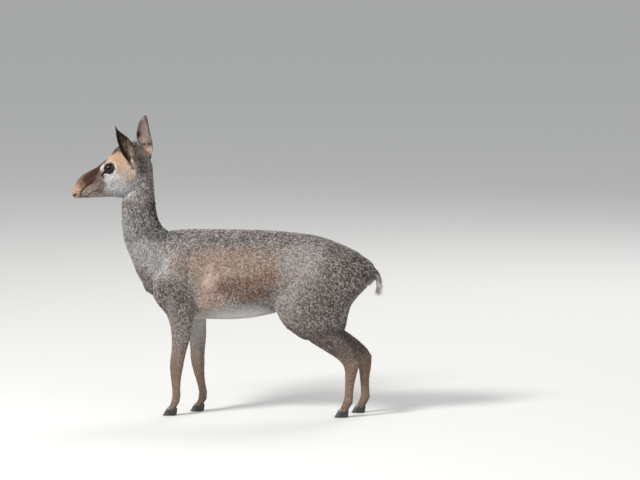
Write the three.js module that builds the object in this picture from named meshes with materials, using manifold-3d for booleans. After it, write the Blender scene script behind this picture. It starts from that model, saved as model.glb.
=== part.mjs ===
// A female dik-dik, a dwarf antelope, standing still and life size: head high and in profile, both ears
// turned back, the right foreleg set a little behind the left one.
// Millimetres, +Z up. The animal faces -X and its left side is towards -Y. The four hooves stand on Z = 0.
import * as THREE from "three";
import { mergeVertices } from "three/addons/utils/BufferGeometryUtils.js";
import Module from "manifold-3d";

const wasm = await Module();
wasm.setup();

// Driving sizes
const GAP = 0.32; // clear space between neighbouring pieces
const LEFT = -1; // side of the body, as a sign of Y
const RIGHT = 1;
const WITHERS = 372; // height of the back over the shoulders
const HEAD_BACK = [-160, 487]; // X and Z of the back of the skull, where the head's own axis starts
const HEAD_TILT = 17.3; // degrees by which the face points below the horizon
const EYE_RADIUS = 12.4;
const EYE_ALONG = 63; // eye centre on the head's axis, and above it
const EYE_ABOVE = 28;
const EYE_OUT = 23.2; // eye centre from the middle plane
const EYE_FORWARD = 16; // degrees by which the eyes look ahead of straight sideways
const LID_THICKNESS = 1.9;
const LIP_DEPTH = 2.2; // of the grooves at the mouth and beside the nose
const FORE_SPREAD = 31; // foot centres from the middle plane
const HIND_SPREAD = 34;
const FORE_SWING = { [LEFT]: 2, [RIGHT]: 51 }; // how far behind the plain stance each forefoot stands
const HIND_SWING = { [LEFT]: 0, [RIGHT]: 30 };
const HOOF_HEIGHT = 17;
const EAR_THICKNESS = 2;

const rad = THREE.MathUtils.degToRad;

// Solids and geometry

// A closed geometry as a manifold, with its faces turned outwards.
function solid(geometry) {
  const plain = geometry.clone();
  for (const name of Object.keys(plain.attributes)) {
    if (name !== "position") plain.deleteAttribute(name);
  }
  const merged = mergeVertices(plain, 1e-4);
  const build = (triVerts) =>
    new wasm.Manifold(
      new wasm.Mesh({ numProp: 3, vertProperties: merged.attributes.position.array, triVerts }),
    );
  const triVerts = new Uint32Array(merged.index.array);
  const made = build(triVerts);
  return made.volume() > 0 ? made : build(triVerts.reverse());
}

// The manifold's surface as a geometry for a mesh.
function surface(manifold) {
  const { numProp, numVert, vertProperties, triVerts } = manifold.getMesh();
  const position = new Float32Array(numVert * 3);
  for (let i = 0; i < numVert; i++) {
    position.set(vertProperties.subarray(i * numProp, i * numProp + 3), i * 3);
  }
  const geometry = new THREE.BufferGeometry();
  geometry.setAttribute("position", new THREE.BufferAttribute(position, 3));
  geometry.setIndex(new THREE.BufferAttribute(triVerts, 1));
  geometry.computeVertexNormals();
  return geometry;
}

const byVolume = (a, b) => b.volume() - a.volume();
const largest = (manifold) => manifold.decompose().sort(byVolume)[0];
const union = (pieces) => pieces.reduce((whole, piece) => whole.add(piece));
const cutBy = (piece, cutters) => cutters.reduce((left, cutter) => left.subtract(cutter), piece);

// A grid of points closed into a body: row after row of the same number of points, with a point at each end.
function closedRows(rows, first, last) {
  const width = rows[0].length;
  const points = [first, ...rows.flat(), last];
  const faces = [];
  const at = (row, i) => 1 + row * width + (i % width);
  for (let i = 0; i < width; i++) {
    faces.push(0, at(0, i + 1), at(0, i));
    faces.push(points.length - 1, at(rows.length - 1, i), at(rows.length - 1, i + 1));
  }
  for (let row = 0; row + 1 < rows.length; row++) {
    for (let i = 0; i < width; i++) {
      faces.push(at(row, i), at(row, i + 1), at(row + 1, i + 1));
      faces.push(at(row, i), at(row + 1, i + 1), at(row + 1, i));
    }
  }
  const geometry = new THREE.BufferGeometry();
  geometry.setAttribute("position", new THREE.Float32BufferAttribute(points.flatMap((p) => p.toArray()), 3));
  geometry.setIndex(faces);
  return geometry;
}

// A smooth curve through values at rising stations.
function curveThrough(stations, values) {
  const steps = values.slice(1).map((v, i) => (v - values[i]) / (stations[i + 1] - stations[i]));
  const slopes = values.map((_, i) => {
    if (i === 0) return steps[0];
    if (i === steps.length) return steps[i - 1];
    const before = stations[i] - stations[i - 1];
    const after = stations[i + 1] - stations[i];
    return (steps[i - 1] * after + steps[i] * before) / (before + after);
  });
  return (t) => {
    let i = 0;
    while (i < stations.length - 2 && t > stations[i + 1]) i++;
    const wide = stations[i + 1] - stations[i];
    const u = (t - stations[i]) / wide;
    const keep = (1 + 2 * u) * (1 - u) ** 2 * values[i] + u * u * (3 - 2 * u) * values[i + 1];
    return keep + wide * u * (1 - u) * ((1 - u) * slopes[i] - u * slopes[i + 1]);
  };
}

// A body skinned over oval rings. Each key is [x, y, z, over, under, side]: the ring's centre, its reach
// towards `towards` and away from it, and its half width. `axis` fixes the direction that the rings face, or
// else they follow the path. `domes` rounds the two ends off by these lengths. `swells` are soft bulges
// [x, y, z, reach, size].
function loft(keys, { sides, rings, towards, axis, domes = [4, 4], domeSteps = 2, swells = [], grow = 0 }) {
  const stations = [0];
  for (let i = 1; i < keys.length; i++) {
    const step = Math.hypot(...[0, 1, 2].map((k) => keys[i][k] - keys[i - 1][k]));
    stations.push(stations[i - 1] + step);
  }
  const length = stations.at(-1);
  const curves = keys[0].map((_, k) => curveThrough(stations, keys.map((key) => key[k])));
  const centre = (t) => new THREE.Vector3(curves[0](t), curves[1](t), curves[2](t));
  const reference = new THREE.Vector3(...towards);
  const bulges = swells.map(([x, y, z, reach, size]) => ({ at: new THREE.Vector3(x, y, z), reach, size }));

  const ringAt = (t, shrink, push) => {
    const ahead = axis
      ? new THREE.Vector3(...axis).normalize()
      : centre(Math.min(t + 1, length)).sub(centre(Math.max(t - 1, 0))).normalize();
    const lateral = new THREE.Vector3(0, 1, 0).addScaledVector(ahead, -ahead.y).normalize();
    const over = new THREE.Vector3().crossVectors(ahead, lateral);
    if (over.dot(reference) < 0) over.negate();
    const middle = centre(t).addScaledVector(ahead, push);
    const points = [];
    for (let i = 0; i < sides; i++) {
      const angle = (2 * Math.PI * (i + 0.5)) / sides;
      const reach = Math.sin(angle) > 0 ? curves[3](t) : curves[4](t);
      const spoke = new THREE.Vector3()
        .addScaledVector(lateral, Math.cos(angle) * curves[5](t))
        .addScaledVector(over, Math.sin(angle) * reach);
      const out = spoke.clone().normalize();
      const point = middle.clone().addScaledVector(spoke, shrink);
      const swell = bulges.reduce(
        (sum, { at, reach: r, size }) => sum + size * Math.exp(-point.distanceToSquared(at) / (r * r)),
        0,
      );
      points.push(point.addScaledVector(out, (swell + grow) * shrink));
    }
    return points;
  };

  const rows = [];
  const [startDome, endDome] = domes.map((d) => d + grow);
  for (let i = 1; i < domeSteps; i++) {
    const turn = (Math.PI / 2) * (i / domeSteps);
    rows.push(ringAt(0, Math.sin(turn), -startDome * Math.cos(turn)));
  }
  for (let i = 0; i < rings; i++) rows.push(ringAt((length * i) / (rings - 1), 1, 0));
  for (let i = domeSteps - 1; i > 0; i--) {
    const turn = (Math.PI / 2) * (i / domeSteps);
    rows.push(ringAt(length, Math.sin(turn), endDome * Math.cos(turn)));
  }
  const middleOf = (row) => row.reduce((sum, p) => sum.add(p), new THREE.Vector3()).divideScalar(row.length);
  const tip = (row, next, dome) => {
    const end = middleOf(row);
    const ahead = end.clone().sub(middleOf(next)).normalize();
    return end.addScaledVector(ahead, dome * (1 - Math.cos(Math.PI / 2 / domeSteps)));
  };
  return closedRows(rows, tip(rows[0], rows[1], startDome), tip(rows.at(-1), rows.at(-2), endDome));
}

// A thin flat cutter across the body: it passes through [x, z] and its faces look along `angle` in the XZ
// plane.
function slab([x, z], angle, y = 0, wide = 120) {
  const box = new THREE.BoxGeometry(wide, wide, GAP);
  box.rotateY(rad(angle));
  box.translate(x, y, z);
  return solid(box);
}

// Head

const headAxis = [-Math.cos(rad(HEAD_TILT)), 0, -Math.sin(rad(HEAD_TILT))];

// A place on the head: along its axis from the back of the skull, above the axis, and out to a side.
function headPoint(along, above, out = 0) {
  const c = Math.cos(rad(HEAD_TILT));
  const s = Math.sin(rad(HEAD_TILT));
  return [HEAD_BACK[0] - along * c - above * s, out, HEAD_BACK[1] - along * s + above * c];
}

// Rings of the head: along the axis, top, bottom, half width, and the height at which it is widest.
const HEAD_RINGS = [
  [-12, 31, -6, 16, 12],
  [-5, 47, -22, 25, 12],
  [12, 58.5, -38, 31, 13],
  [30, 59.5, -42.5, 32.5, 16],
  [47, 54.5, -41, 32.5, 19],
  [60, 50, -37, 31.5, 21],
  [75, 44, -30.5, 27.5, 19],
  [90, 38, -25.5, 21.5, 10],
  [105, 34.8, -21.5, 17.8, 5],
  [120, 30.8, -17.5, 15.6, 3],
  [134, 24.5, -14, 13.4, 2],
  [145, 16.5, -11.5, 10.8, 1.5],
  [152.5, 9, -8.5, 7.4, 0.5],
];

const HEAD_SWELLS = [
  ...[LEFT, RIGHT].flatMap((side) => [
    [...headPoint(62, 44, side * 22), 12, 3], // brow over the eye
    [...headPoint(64, 26, side * 30), 17, 2.8], // rim of the eye socket
    [...headPoint(10, 34, side * 28), 15, 5], // root of the ear
    [...headPoint(48, 10, side * 34), 16, 1.8], // cheekbone behind the eye
    [...headPoint(38, -20, side * 30), 20, 2.6], // jaw muscle
    [...headPoint(116, -9, side * 15), 9, 1.6], // upper lip
    [...headPoint(100, -20, side * 13), 9, 1.0], // corner of the mouth
    [...headPoint(138, 8, side * 12), 10, 1.2], // swollen side of the nose
    [...headPoint(92, 14, side * 20), 9, -2.0], // hollow of the gland before the eye
  ]),
  [...headPoint(128, 30, 0), 14, 1.5], // soft roof of the nose
];

function headForm(grow = 0) {
  const keys = HEAD_RINGS.map(([along, top, bottom, half, widest]) => [
    ...headPoint(along, widest),
    top - widest,
    widest - bottom,
    half,
  ]);
  return solid(
    loft(keys, {
      sides: 28,
      rings: 25,
      towards: [0, 0, 1],
      axis: headAxis,
      domes: [4, 3.4],
      domeSteps: 3,
      swells: HEAD_SWELLS,
      grow,
    }),
  );
}

function ball(centre, radius, columns, rows) {
  return solid(new THREE.SphereGeometry(radius, columns, rows).rotateX(Math.PI / 2).translate(...centre));
}

const eyeCentre = (side) => headPoint(EYE_ALONG, EYE_ABOVE, side * EYE_OUT);

function eyeball(side, grow = 0) {
  return ball(eyeCentre(side), EYE_RADIUS + grow, 16, 10);
}

// The opening between the lids, an almond with its sharp corner forwards and down, run out to the side.
function lidOpening(side) {
  const almond = new THREE.Shape();
  const [back, front, top, bottom] = [10.6, -13.2, 10.8, -10];
  almond.moveTo(back, 0.5);
  almond.bezierCurveTo(back, top * 0.75, 5, top, -1, top);
  almond.bezierCurveTo(-7, top, -10, 3, front, -4.2);
  almond.bezierCurveTo(-8, -6.2, -5, bottom, 0.5, bottom);
  almond.bezierCurveTo(6.5, bottom, back, -5, back, 0.5);
  const prism = new THREE.ExtrudeGeometry(almond, { depth: 30, bevelEnabled: false, curveSegments: 6 });
  prism.rotateX(Math.PI / 2);
  prism.translate(0, side === RIGHT ? 32 : -2, 0);
  prism.rotateY(rad(-HEAD_TILT - 6));
  prism.rotateZ(rad(side * EYE_FORWARD));
  return solid(prism.translate(...eyeCentre(side)));
}

// A nostril: a bent slit that opens forwards and to the side near the tip of the nose.
function nostril(side) {
  const keys = [
    [...headPoint(155, -3, side * 2.4), 1.9, 1.9, 1.3],
    [...headPoint(150.5, -3.2, side * 6.2), 2.6, 2.2, 1.7],
    [...headPoint(145, -0.5, side * 9.6), 1.7, 1.5, 1.8],
    [...headPoint(141.5, 2.8, side * 11.8), 0.7, 0.7, 1.2],
  ];
  return solid(loft(keys, { sides: 8, rings: 7, towards: [0, 0, 1], domes: [2, 1] }));
}

// A cutter as wide as the head that follows points [along, above, thickness] on the head: as thin as the gap
// between two pieces all the way through, and as thick as the points say only near the skin.
function lipCutter(points) {
  const through = ribbon(points.map(([along, above]) => [along, above, GAP]));
  return through.add(ribbon(points).subtract(headForm(-LIP_DEPTH)));
}

// A band across the head, as wide as the head, whose middle line and thickness are given by the points.
function ribbon(points) {
  const middles = points.map(([along, above]) => {
    const [x, , z] = headPoint(along, above);
    return new THREE.Vector2(x, z);
  });
  const normals = middles.map((_, i) => {
    const before = middles[Math.max(i - 1, 0)];
    const after = middles[Math.min(i + 1, middles.length - 1)];
    const way = after.clone().sub(before).normalize();
    return new THREE.Vector2(-way.y, way.x);
  });
  const edge = (sign) => {
    return middles.map((m, i) => m.clone().addScaledVector(normals[i], (sign * points[i][2]) / 2));
  };
  const outline = [...edge(1), ...edge(-1).reverse()];
  const cutter = new THREE.ExtrudeGeometry(new THREE.Shape(outline), { depth: 120, bevelEnabled: false });
  return solid(cutter.rotateX(Math.PI / 2).translate(0, 60, 0));
}

// The gap between the lips, open a little at the front, which runs on as a thin cut above the jaw bone.
const MOUTH_CUT = [
  [146, -22, GAP],
  [130, -12.2, 1.4],
  [120, -9.2, 1.3],
  [110, -6.8, 0.7],
  [98, -7.5, GAP],
  [80, -13, GAP],
  [60, -22, GAP],
  [42, -33, GAP],
  [22, -60, GAP],
];

// The fold between the trunk-like nose and the upper lip, which runs on as a thin cut over the bridge.
const NOSE_CUT = [
  [141, -26, GAP],
  [139.5, -8, 0.8],
  [136.5, -1, 1.2],
  [127, 5, 1.3],
  [116, 9, 1.1],
  [106, 12, 0.6],
  [99, 17, GAP],
  [94, 27, GAP],
  [92, 60, GAP],
];

// The tuft on the crown: flat, tapered locks in rows that lie back over each other, longest along the middle.
function crownLocks() {
  const random = seeded(5);
  const locks = [];
  for (let row = 0; row < 6; row++) {
    const count = row % 2 === 0 ? 3 : 4;
    for (let i = 0; i < count; i++) {
      const out = (i - (count - 1) / 2) * 8.4 + 2 * random() - 1;
      const length = (22 - Math.abs(out) * 0.4) * (0.8 + 0.4 * random());
      locks.push(crownLock(57 - row * 9.5 + 3 * random(), out, length));
    }
  }
  return locks;
}

// Numbers from 0 to 1 that come out the same every time.
function seeded(seed) {
  let state = seed;
  return () => {
    state = (state * 16807) % 2147483647;
    return state / 2147483647;
  };
}

function crownLock(along, out, length) {
  const crown = curveThrough(
    HEAD_RINGS.map((ring) => ring[0]),
    HEAD_RINGS.map((ring) => ring[1]),
  );
  const drop = (out * out) / 42;
  const keys = [0, 0.35, 0.7, 1].map((t) => {
    const back = along - length * t;
    const lift = -3 + 6.5 * t + 2 * Math.sin(Math.PI * t);
    const half = 4.4 * (1 - t) + 0.6;
    const place = headPoint(back, crown(Math.max(back, -4)) - drop + lift, out * (1 + 0.12 * t));
    return [...place, half * 0.36, half * 0.36, half];
  });
  return solid(loft(keys, { sides: 6, rings: 4, towards: [0, 0, 1], domes: [0.4, 1.4], domeSteps: 1 }));
}

// Neck

function neckForm(grow = 0) {
  const keys = [
    [-72, 0, 272, 50, 46, 28],
    [-118, 0, 292, 64, 50, 37],
    [-146, 0, 326, 51, 50, 36],
    [-165, 0, 365, 43, 38, 31],
    [-173, 0, 404, 37, 34, 28],
    [-174, 0, 434, 33.5, 32.5, 26.5],
    [-170, 0, 468, 31, 26.5, 26],
    [-165, 0, 498, 26, 19, 23],
  ];
  return solid(loft(keys, { sides: 20, rings: 11, towards: [-1, 0, 0], domes: [4, 8], grow }));
}

// Torso: X, back line, belly line, half width, and the height at which it is widest.

const TORSO_RINGS = [
  [-148, 334, 240, 25, 288],
  [-132, 356, 213, 36, 286],
  [-112, WITHERS - 5, 195, 43, 282],
  [-80, WITHERS - 0.5, 191, 48, 278],
  [-40, WITHERS, 191, 53, 272],
  [0, WITHERS + 0.5, 191.5, 57, 268],
  [45, WITHERS, 194, 59, 268],
  [90, 371, 202, 57, 276],
  [130, 368, 214, 53, 286],
  [170, 363, 230, 50, 294],
  [210, 353, 243, 46, 297],
  [245, 338.5, 252, 40, 295],
  [272, 324, 258, 31, 292],
  [290, 311, 262, 21, 287],
];

const TORSO_SWELLS = [
  ...[LEFT, RIGHT].flatMap((side) => [
    [20, side * 54, 225, 45, 3], // lower ribs
    [120, side * 54, 335, 34, -3.5], // hollow before the hip
    [176, side * 37, 345, 22, 4], // point of the hip
    [-62, side * 37, 352, 30, 3], // shoulder blade
    [-20, side * 54, 300, 30, -2], // dip behind the shoulder
  ]),
];

function torsoForm(grow = 0) {
  const keys = TORSO_RINGS.map(([x, top, bottom, half, widest]) => {
    return [x, 0, widest, top - widest, widest - bottom, half];
  });
  return solid(
    loft(keys, {
      sides: 22,
      rings: 17,
      towards: [0, 0, 1],
      axis: [1, 0, 0],
      domes: [8, 7],
      swells: TORSO_SWELLS,
      grow,
    }),
  );
}

// Legs

// A leg's keys carried backwards, the more the lower they are, down to the fetlock, and as one below it.
function swung(keys, swing, pivot, fetlock) {
  return keys.map(([x, y, z, ...rest]) => {
    const share = Math.min(1, Math.max(0, (pivot - z) / (pivot - fetlock)));
    return [x + swing * share, y, z, ...rest];
  });
}

// Rings of a foreleg: X, from the middle plane, Z, reach forwards, reach backwards, half width.
const FORE_RINGS = [
  [-80, 28, 332, 24, 24, 16],
  [-91, 31.5, 300, 35, 36, 20],
  [-100, 33, 264, 43, 42, 21],
  [-93, 34, 232, 43, 38, 19.5],
  [-88, 34, 208, 31, 28, 17],
  [-86.5, 33, 184, 24, 22, 14],
  [-87.5, 32, 152, 19.5, 17, 12.2],
  [-91.5, 31.5, 128, 16.5, 14, 11.2],
  [-95, FORE_SPREAD, 110, 15.6, 13, 11.6],
  [-96.5, FORE_SPREAD, 96, 14.8, 12, 10.8],
  [-98, FORE_SPREAD, 78, 12, 9.6, 8.8],
  [-98.5, FORE_SPREAD, 56, 8.8, 7.9, 7.2],
  [-98.5, FORE_SPREAD, 42, 8.2, 8, 7.4],
  [-99.5, FORE_SPREAD, 31, 8.8, 9.2, 8.8],
  [-104, FORE_SPREAD, 20, 7.8, 7.6, 8.6],
  [-108, FORE_SPREAD, 13, 7.4, 7, 8.8],
];
const FORE_SWELLS = [
  [-71, 33, 206, 12, 3], // point of the elbow
  [-138, 32, 262, 16, 2], // point of the shoulder
];
const FORE_PIVOT = 300;
const FORE_FETLOCK = 31;
const FORE_CUTS = [
  [-88, 196, 0], // elbow
  [-93, 122, 3], // over the knee
  [-97, 88, 2], // under the knee
  [-99, 38.5, 0], // over the fetlock
];
const FORE_NAMES = ["upper", "forearm", "knee", "cannon", "pastern"];

// The thigh is one oval muscle with flat level rings, and the shank runs out of it to the hock and down.
const THIGH_RINGS = [
  [192, 29.5, 336, 30, 26, 11.5],
  [197, 30.5, 316, 56, 48, 19],
  [200, 31.5, 290, 80, 75, 24.5],
  [195, 32.5, 264, 91, 90, 27],
  [183, 33, 240, 85, 79, 27],
  [174, 33.5, 220, 75, 70, 25.5],
  [172, HIND_SPREAD, 203, 65, 64, 23.5],
  [174, HIND_SPREAD, 187, 57, 57, 21],
  [178, HIND_SPREAD, 173, 48, 48, 18],
  [184, HIND_SPREAD, 161, 35, 36, 14],
];

const SHANK_RINGS = [
  [158, HIND_SPREAD, 186, 20, 20, 14],
  [190, HIND_SPREAD, 165, 21.5, 21.5, 14],
  [218, HIND_SPREAD, 145.5, 19.5, 19, 12],
  [239, HIND_SPREAD, 129, 17.5, 18, 10.8],
  [251.5, HIND_SPREAD, 112, 15.5, 18, 10.6],
  [254.5, HIND_SPREAD, 97, 13.5, 14.5, 9.8],
  [253, HIND_SPREAD, 80, 10.8, 11, 8.2],
  [251, HIND_SPREAD, 60, 9, 9, 7.2],
  [249.8, HIND_SPREAD, 44, 8.6, 8.8, 7.4],
  [248.5, HIND_SPREAD, 32, 9.4, 9.8, 9],
  [243.5, HIND_SPREAD, 20.5, 8.2, 8, 8.8],
  [239, HIND_SPREAD, 13, 7.6, 7.4, 9],
];
const SHANK_SWELLS = [[268, HIND_SPREAD, 114, 9, 2.2]]; // point of the hock
const HIND_PIVOT = 290;
const HIND_FETLOCK = 32;
const HIND_CUTS = [
  [247, 121, 140], // over the hock
  [254, 89, 3], // under the hock
  [250, 39.5, 0], // over the fetlock
];
const HIND_NAMES = ["shank", "hock", "cannon", "pastern"];

const mirrored = (keys, side) => keys.map(([x, y, ...rest]) => [x, y * side, ...rest]);

function forelegForm(side, grow = 0) {
  const stance = [FORE_SWING[side], FORE_PIVOT, FORE_FETLOCK];
  const keys = swung(mirrored(FORE_RINGS, side), ...stance);
  const swells = swung(mirrored(FORE_SWELLS, side), ...stance);
  return solid(
    loft(keys, { sides: 12, rings: 24, towards: [-1, 0, 0], axis: [0, 0, -1], domes: [8, 3], swells, grow }),
  );
}

const hindStance = (keys, side) => swung(mirrored(keys, side), HIND_SWING[side], HIND_PIVOT, HIND_FETLOCK);

function thighForm(side, grow = 0) {
  const keys = hindStance(THIGH_RINGS, side);
  return solid(
    loft(keys, { sides: 16, rings: 10, towards: [-1, 0, 0], axis: [0, 0, -1], domes: [5, 7], grow }),
  );
}

function shankForm(side, grow = 0) {
  const keys = hindStance(SHANK_RINGS, side);
  const swells = hindStance(SHANK_SWELLS, side);
  return solid(loft(keys, { sides: 12, rings: 22, towards: [-1, 0, 0], domes: [6, 3], swells, grow }));
}

// A leg parted by thin cuts at its joints, from the top piece down.
function partedLeg(whole, cuts, side, swing, pivot, fetlock) {
  const slabs = swung(cuts.map(([x, z, angle]) => [x, 0, z, angle]), swing, pivot, fetlock).map(
    ([x, , z, angle]) => slab([x, z], angle, side * 60),
  );
  const height = (piece) => piece.boundingBox().max[2];
  return cutBy(whole, slabs)
    .decompose()
    .sort(byVolume)
    .slice(0, cuts.length + 1)
    .sort((a, b) => height(b) - height(a));
}

// One toe of a cloven hoof, flat underneath, pointed forwards, with its steep front wall.
function toe(footX, footY, inner) {
  const long = 27;
  const levels = [
    [0, 0, 1],
    [8, 2, 0.96],
    [HOOF_HEIGHT, 6, 0.74],
  ];
  const sides = 10;
  const rows = levels.map(([z, back, scale]) => {
    const row = [];
    for (let i = 0; i < sides; i++) {
      const angle = (2 * Math.PI * i) / sides;
      const ahead = Math.cos(angle);
      const taper = ahead > 0 ? 1 - 0.62 * ahead ** 2 : 1;
      const x = footX - (ahead * long * scale) / 2 + back;
      const y = footY + inner * 4.9 * (1 + 0.18 * ahead) + Math.sin(angle) * 4.3 * taper * scale;
      row.push(new THREE.Vector3(x, y, z));
    }
    return row;
  });
  const first = new THREE.Vector3(footX, footY + inner * 4.9, 0);
  const last = new THREE.Vector3(footX + 6, footY + inner * 4.9, HOOF_HEIGHT);
  return solid(closedRows(rows, first, last));
}

// Tail

function tailForm() {
  const keys = [
    [284, 0, 300, 9, 9, 10],
    [297, 0, 292, 7, 7, 9],
    [305, 0, 276, 5.5, 5.5, 8.5],
    [306.5, 0, 261, 4.5, 4.5, 7],
    [305, 0, 250, 2.6, 2.6, 4],
  ];
  return solid(loft(keys, { sides: 10, rings: 7, towards: [1, 0, 0], domes: [3, 3] }));
}

// Ears

// A cupped leaf. Its axis runs from base to tip and bows out in between, `open` is where the cup faces at the
// root, and it turns from there by `twist` degrees up to the tip. `halves` are its half widths, measured
// round the cup. Its section closes to a tube at the root. Both faces share one pattern of triangles.
function ear({ base, tip, open, bow, twist, halves }, grow = 0) {
  const across = 10;
  const up = 13;
  const start = new THREE.Vector3(...base);
  const along = new THREE.Vector3(...tip).sub(start);
  const length = along.length();
  along.normalize();
  const rootFacing = new THREE.Vector3(...open);
  rootFacing.addScaledVector(along, -rootFacing.dot(along)).normalize();
  const half = curveThrough(EAR_STATIONS, halves);
  const bend = curveThrough([-0.1, 0.05, 0.15, 0.3, 0.6, 1], [2.75, 2.35, 1.8, 1.25, 0.85, 0.5]);
  const sheet = (inset) => {
    const rows = [];
    for (let j = 0; j <= up; j++) {
      const t = -0.1 + (1.1 * j) / up;
      const turn = bend(t);
      const radius = half(t) / turn;
      const thin = EAR_THICKNESS * (1.25 - 0.75 * Math.max(t, 0)) + grow;
      const facing = rootFacing.clone().applyAxisAngle(along, rad(twist * Math.max(t, 0)));
      const wide = new THREE.Vector3().crossVectors(along, facing);
      const row = [];
      for (let i = 0; i <= across; i++) {
        const share = (2 * i) / across - 1;
        const angle = share * turn;
        const edge = 1 - 0.55 * share ** 4;
        const r = radius + (inset ? -thin * edge : grow);
        row.push(
          start
            .clone()
            .addScaledVector(along, length * t - 2.5 * (1 - Math.cos(angle)))
            .addScaledVector(wide, Math.sin(angle) * r + bow * Math.sin(Math.PI * Math.max(t, 0)))
            .addScaledVector(facing, radius * 0.55 - Math.cos(angle) * r),
        );
      }
      rows.push(row);
    }
    return rows;
  };
  const outer = sheet(false);
  const inner = sheet(true);
  return solid(bandClosed(outer.map((row, j) => [...row, ...inner[j].slice().reverse()])));
}

// Rows of points that each run out along one face and back along the other, closed at both ends by strips
// between the faces.
function bandClosed(loops) {
  const width = loops[0].length;
  const points = loops.flat();
  const at = (row, i) => row * width + (i % width);
  const faces = [];
  for (let row = 0; row + 1 < loops.length; row++) {
    for (let i = 0; i < width; i++) {
      const [a, b] = [at(row, i), at(row, i + 1)];
      const [c, d] = [at(row + 1, i), at(row + 1, i + 1)];
      faces.push(...(i >= width / 2 ? [a, b, c, b, d, c] : [a, b, d, a, d, c]));
    }
  }
  const cap = (row, flip) => {
    for (let i = 0; i < width / 2 - 1; i++) {
      const a = at(row, i);
      const b = at(row, i + 1);
      const c = at(row, width - 1 - i);
      const d = at(row, width - 2 - i);
      faces.push(...(flip ? [a, d, b, a, c, d] : [a, b, d, a, d, c]));
    }
  };
  cap(0, true);
  cap(loops.length - 1, false);
  const geometry = new THREE.BufferGeometry();
  geometry.setAttribute("position", new THREE.Float32BufferAttribute(points.flatMap((p) => p.toArray()), 3));
  geometry.setIndex(faces);
  return geometry;
}

// Shares of an ear's length at which its half widths are given.
const EAR_STATIONS = [-0.1, 0.05, 0.15, 0.3, 0.5, 0.65, 0.75, 0.86, 0.95, 1];
const EARS = {
  [LEFT]: {
    base: headPoint(18, 27, -29),
    tip: [-213.5, -57, 583],
    open: [0.2, -0.95, 0.2],
    bow: 4,
    twist: 62,
    halves: [12, 16.5, 19.5, 21.5, 19.5, 15.5, 11.5, 6.6, 3, 1.2],
  },
  [RIGHT]: {
    base: headPoint(-9, 28, 25),
    tip: [-164.5, 52, 600],
    open: [0.5, -0.85, 0.1],
    bow: -5.5,
    twist: 0,
    halves: [14, 20.5, 22.5, 23, 20.5, 17, 14.5, 11, 6.5, 2.6],
  },
};

// Assembly

const sideName = { [LEFT]: "left", [RIGHT]: "right" };
const COAT = { color: 0x8b837c, roughness: 0.9, metalness: 0 };
const LOOKS = {
  coat: COAT,
  face: { ...COAT, color: 0xb79478 },
  ear: { ...COAT, color: 0x8a6a50 },
  leg: { ...COAT, color: 0x967f6c },
  eye: { color: 0x140d0a, roughness: 0.08, metalness: 0 },
  hoof: { color: 0x1d1a18, roughness: 0.45, metalness: 0 },
};

const animal = new THREE.Group();

function place(name, look, manifold) {
  const mesh = new THREE.Mesh(surface(manifold), new THREE.MeshStandardMaterial(LOOKS[look]));
  mesh.name = name;
  animal.add(mesh);
}

function buildHead() {
  const lids = [LEFT, RIGHT].map((side) => ball(eyeCentre(side), EYE_RADIUS + LID_THICKNESS, 20, 12));
  const crest = cutBy(union(crownLocks()), [ear(EARS[LEFT], GAP), ear(EARS[RIGHT], GAP)]);
  const flesh = union([headForm(), ...lids, crest]);
  const hollows = [LEFT, RIGHT].flatMap((side) => [eyeball(side, GAP), lidOpening(side), nostril(side)]);
  const cut = cutBy(flesh, [...hollows, lipCutter(MOUTH_CUT), lipCutter(NOSE_CUT)]);
  const [head, nose, jaw] = cut.decompose().sort(byVolume);
  place("head", "face", head);
  place("lower_jaw", "face", jaw);
  place("nose", "face", nose);
  for (const side of [LEFT, RIGHT]) place(`eye_${sideName[side]}`, "eye", eyeball(side));
}

function buildEars() {
  const skull = headForm(GAP);
  const neck = neckForm(GAP);
  for (const side of [LEFT, RIGHT]) {
    place(`ear_${sideName[side]}`, "ear", largest(cutBy(ear(EARS[side]), [skull, neck])));
  }
}

function buildFoot(name, x, y, flesh) {
  for (const [toeName, inner] of [["outer", Math.sign(y)], ["inner", -Math.sign(y)]]) {
    place(`${name}_hoof_${toeName}`, "hoof", largest(toe(x, y, inner).subtract(flesh)));
  }
}

function buildLegs() {
  const torsoCutters = [];
  for (const side of [LEFT, RIGHT]) {
    const name = sideName[side];
    const grownFore = forelegForm(side, GAP);
    const grownThigh = thighForm(side, GAP);
    const grownShank = shankForm(side, GAP);
    torsoCutters.push(grownFore, grownThigh, grownShank);
    const fore = partedLeg(forelegForm(side), FORE_CUTS, side, FORE_SWING[side], FORE_PIVOT, FORE_FETLOCK);
    const shank = shankForm(side).subtract(grownThigh);
    const hind = partedLeg(shank, HIND_CUTS, side, HIND_SWING[side], HIND_PIVOT, HIND_FETLOCK);
    FORE_NAMES.forEach((part, i) => place(`foreleg_${name}_${part}`, "leg", fore[i]));
    place(`hindleg_${name}_thigh`, "leg", thighForm(side));
    HIND_NAMES.forEach((part, i) => place(`hindleg_${name}_${part}`, "leg", hind[i]));
    buildFoot(`foreleg_${name}`, -113 + FORE_SWING[side], side * FORE_SPREAD, grownFore);
    buildFoot(`hindleg_${name}`, 234 + HIND_SWING[side], side * HIND_SPREAD, grownShank);
  }
  return torsoCutters;
}

buildHead();
buildEars();
const legCutters = buildLegs();
place("neck", "coat", largest(cutBy(neckForm(), [headForm(GAP), ...legCutters])));
place("torso", "coat", largest(cutBy(torsoForm(), [neckForm(GAP), ...legCutters])));
place("tail", "coat", largest(cutBy(tailForm(), [torsoForm(GAP)])));

// The part's origin is on the floor, under the middle of its bounding box.
const bounds = new THREE.Box3().setFromObject(animal);
const middle = bounds.getCenter(new THREE.Vector3());
animal.position.set(-middle.x, -middle.y, 0);

const part = new THREE.Group();
part.add(animal);

export default part;
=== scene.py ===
"""A female dik-dik, a dwarf antelope, life size and standing still, as a museum shows one."""
import math

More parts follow.
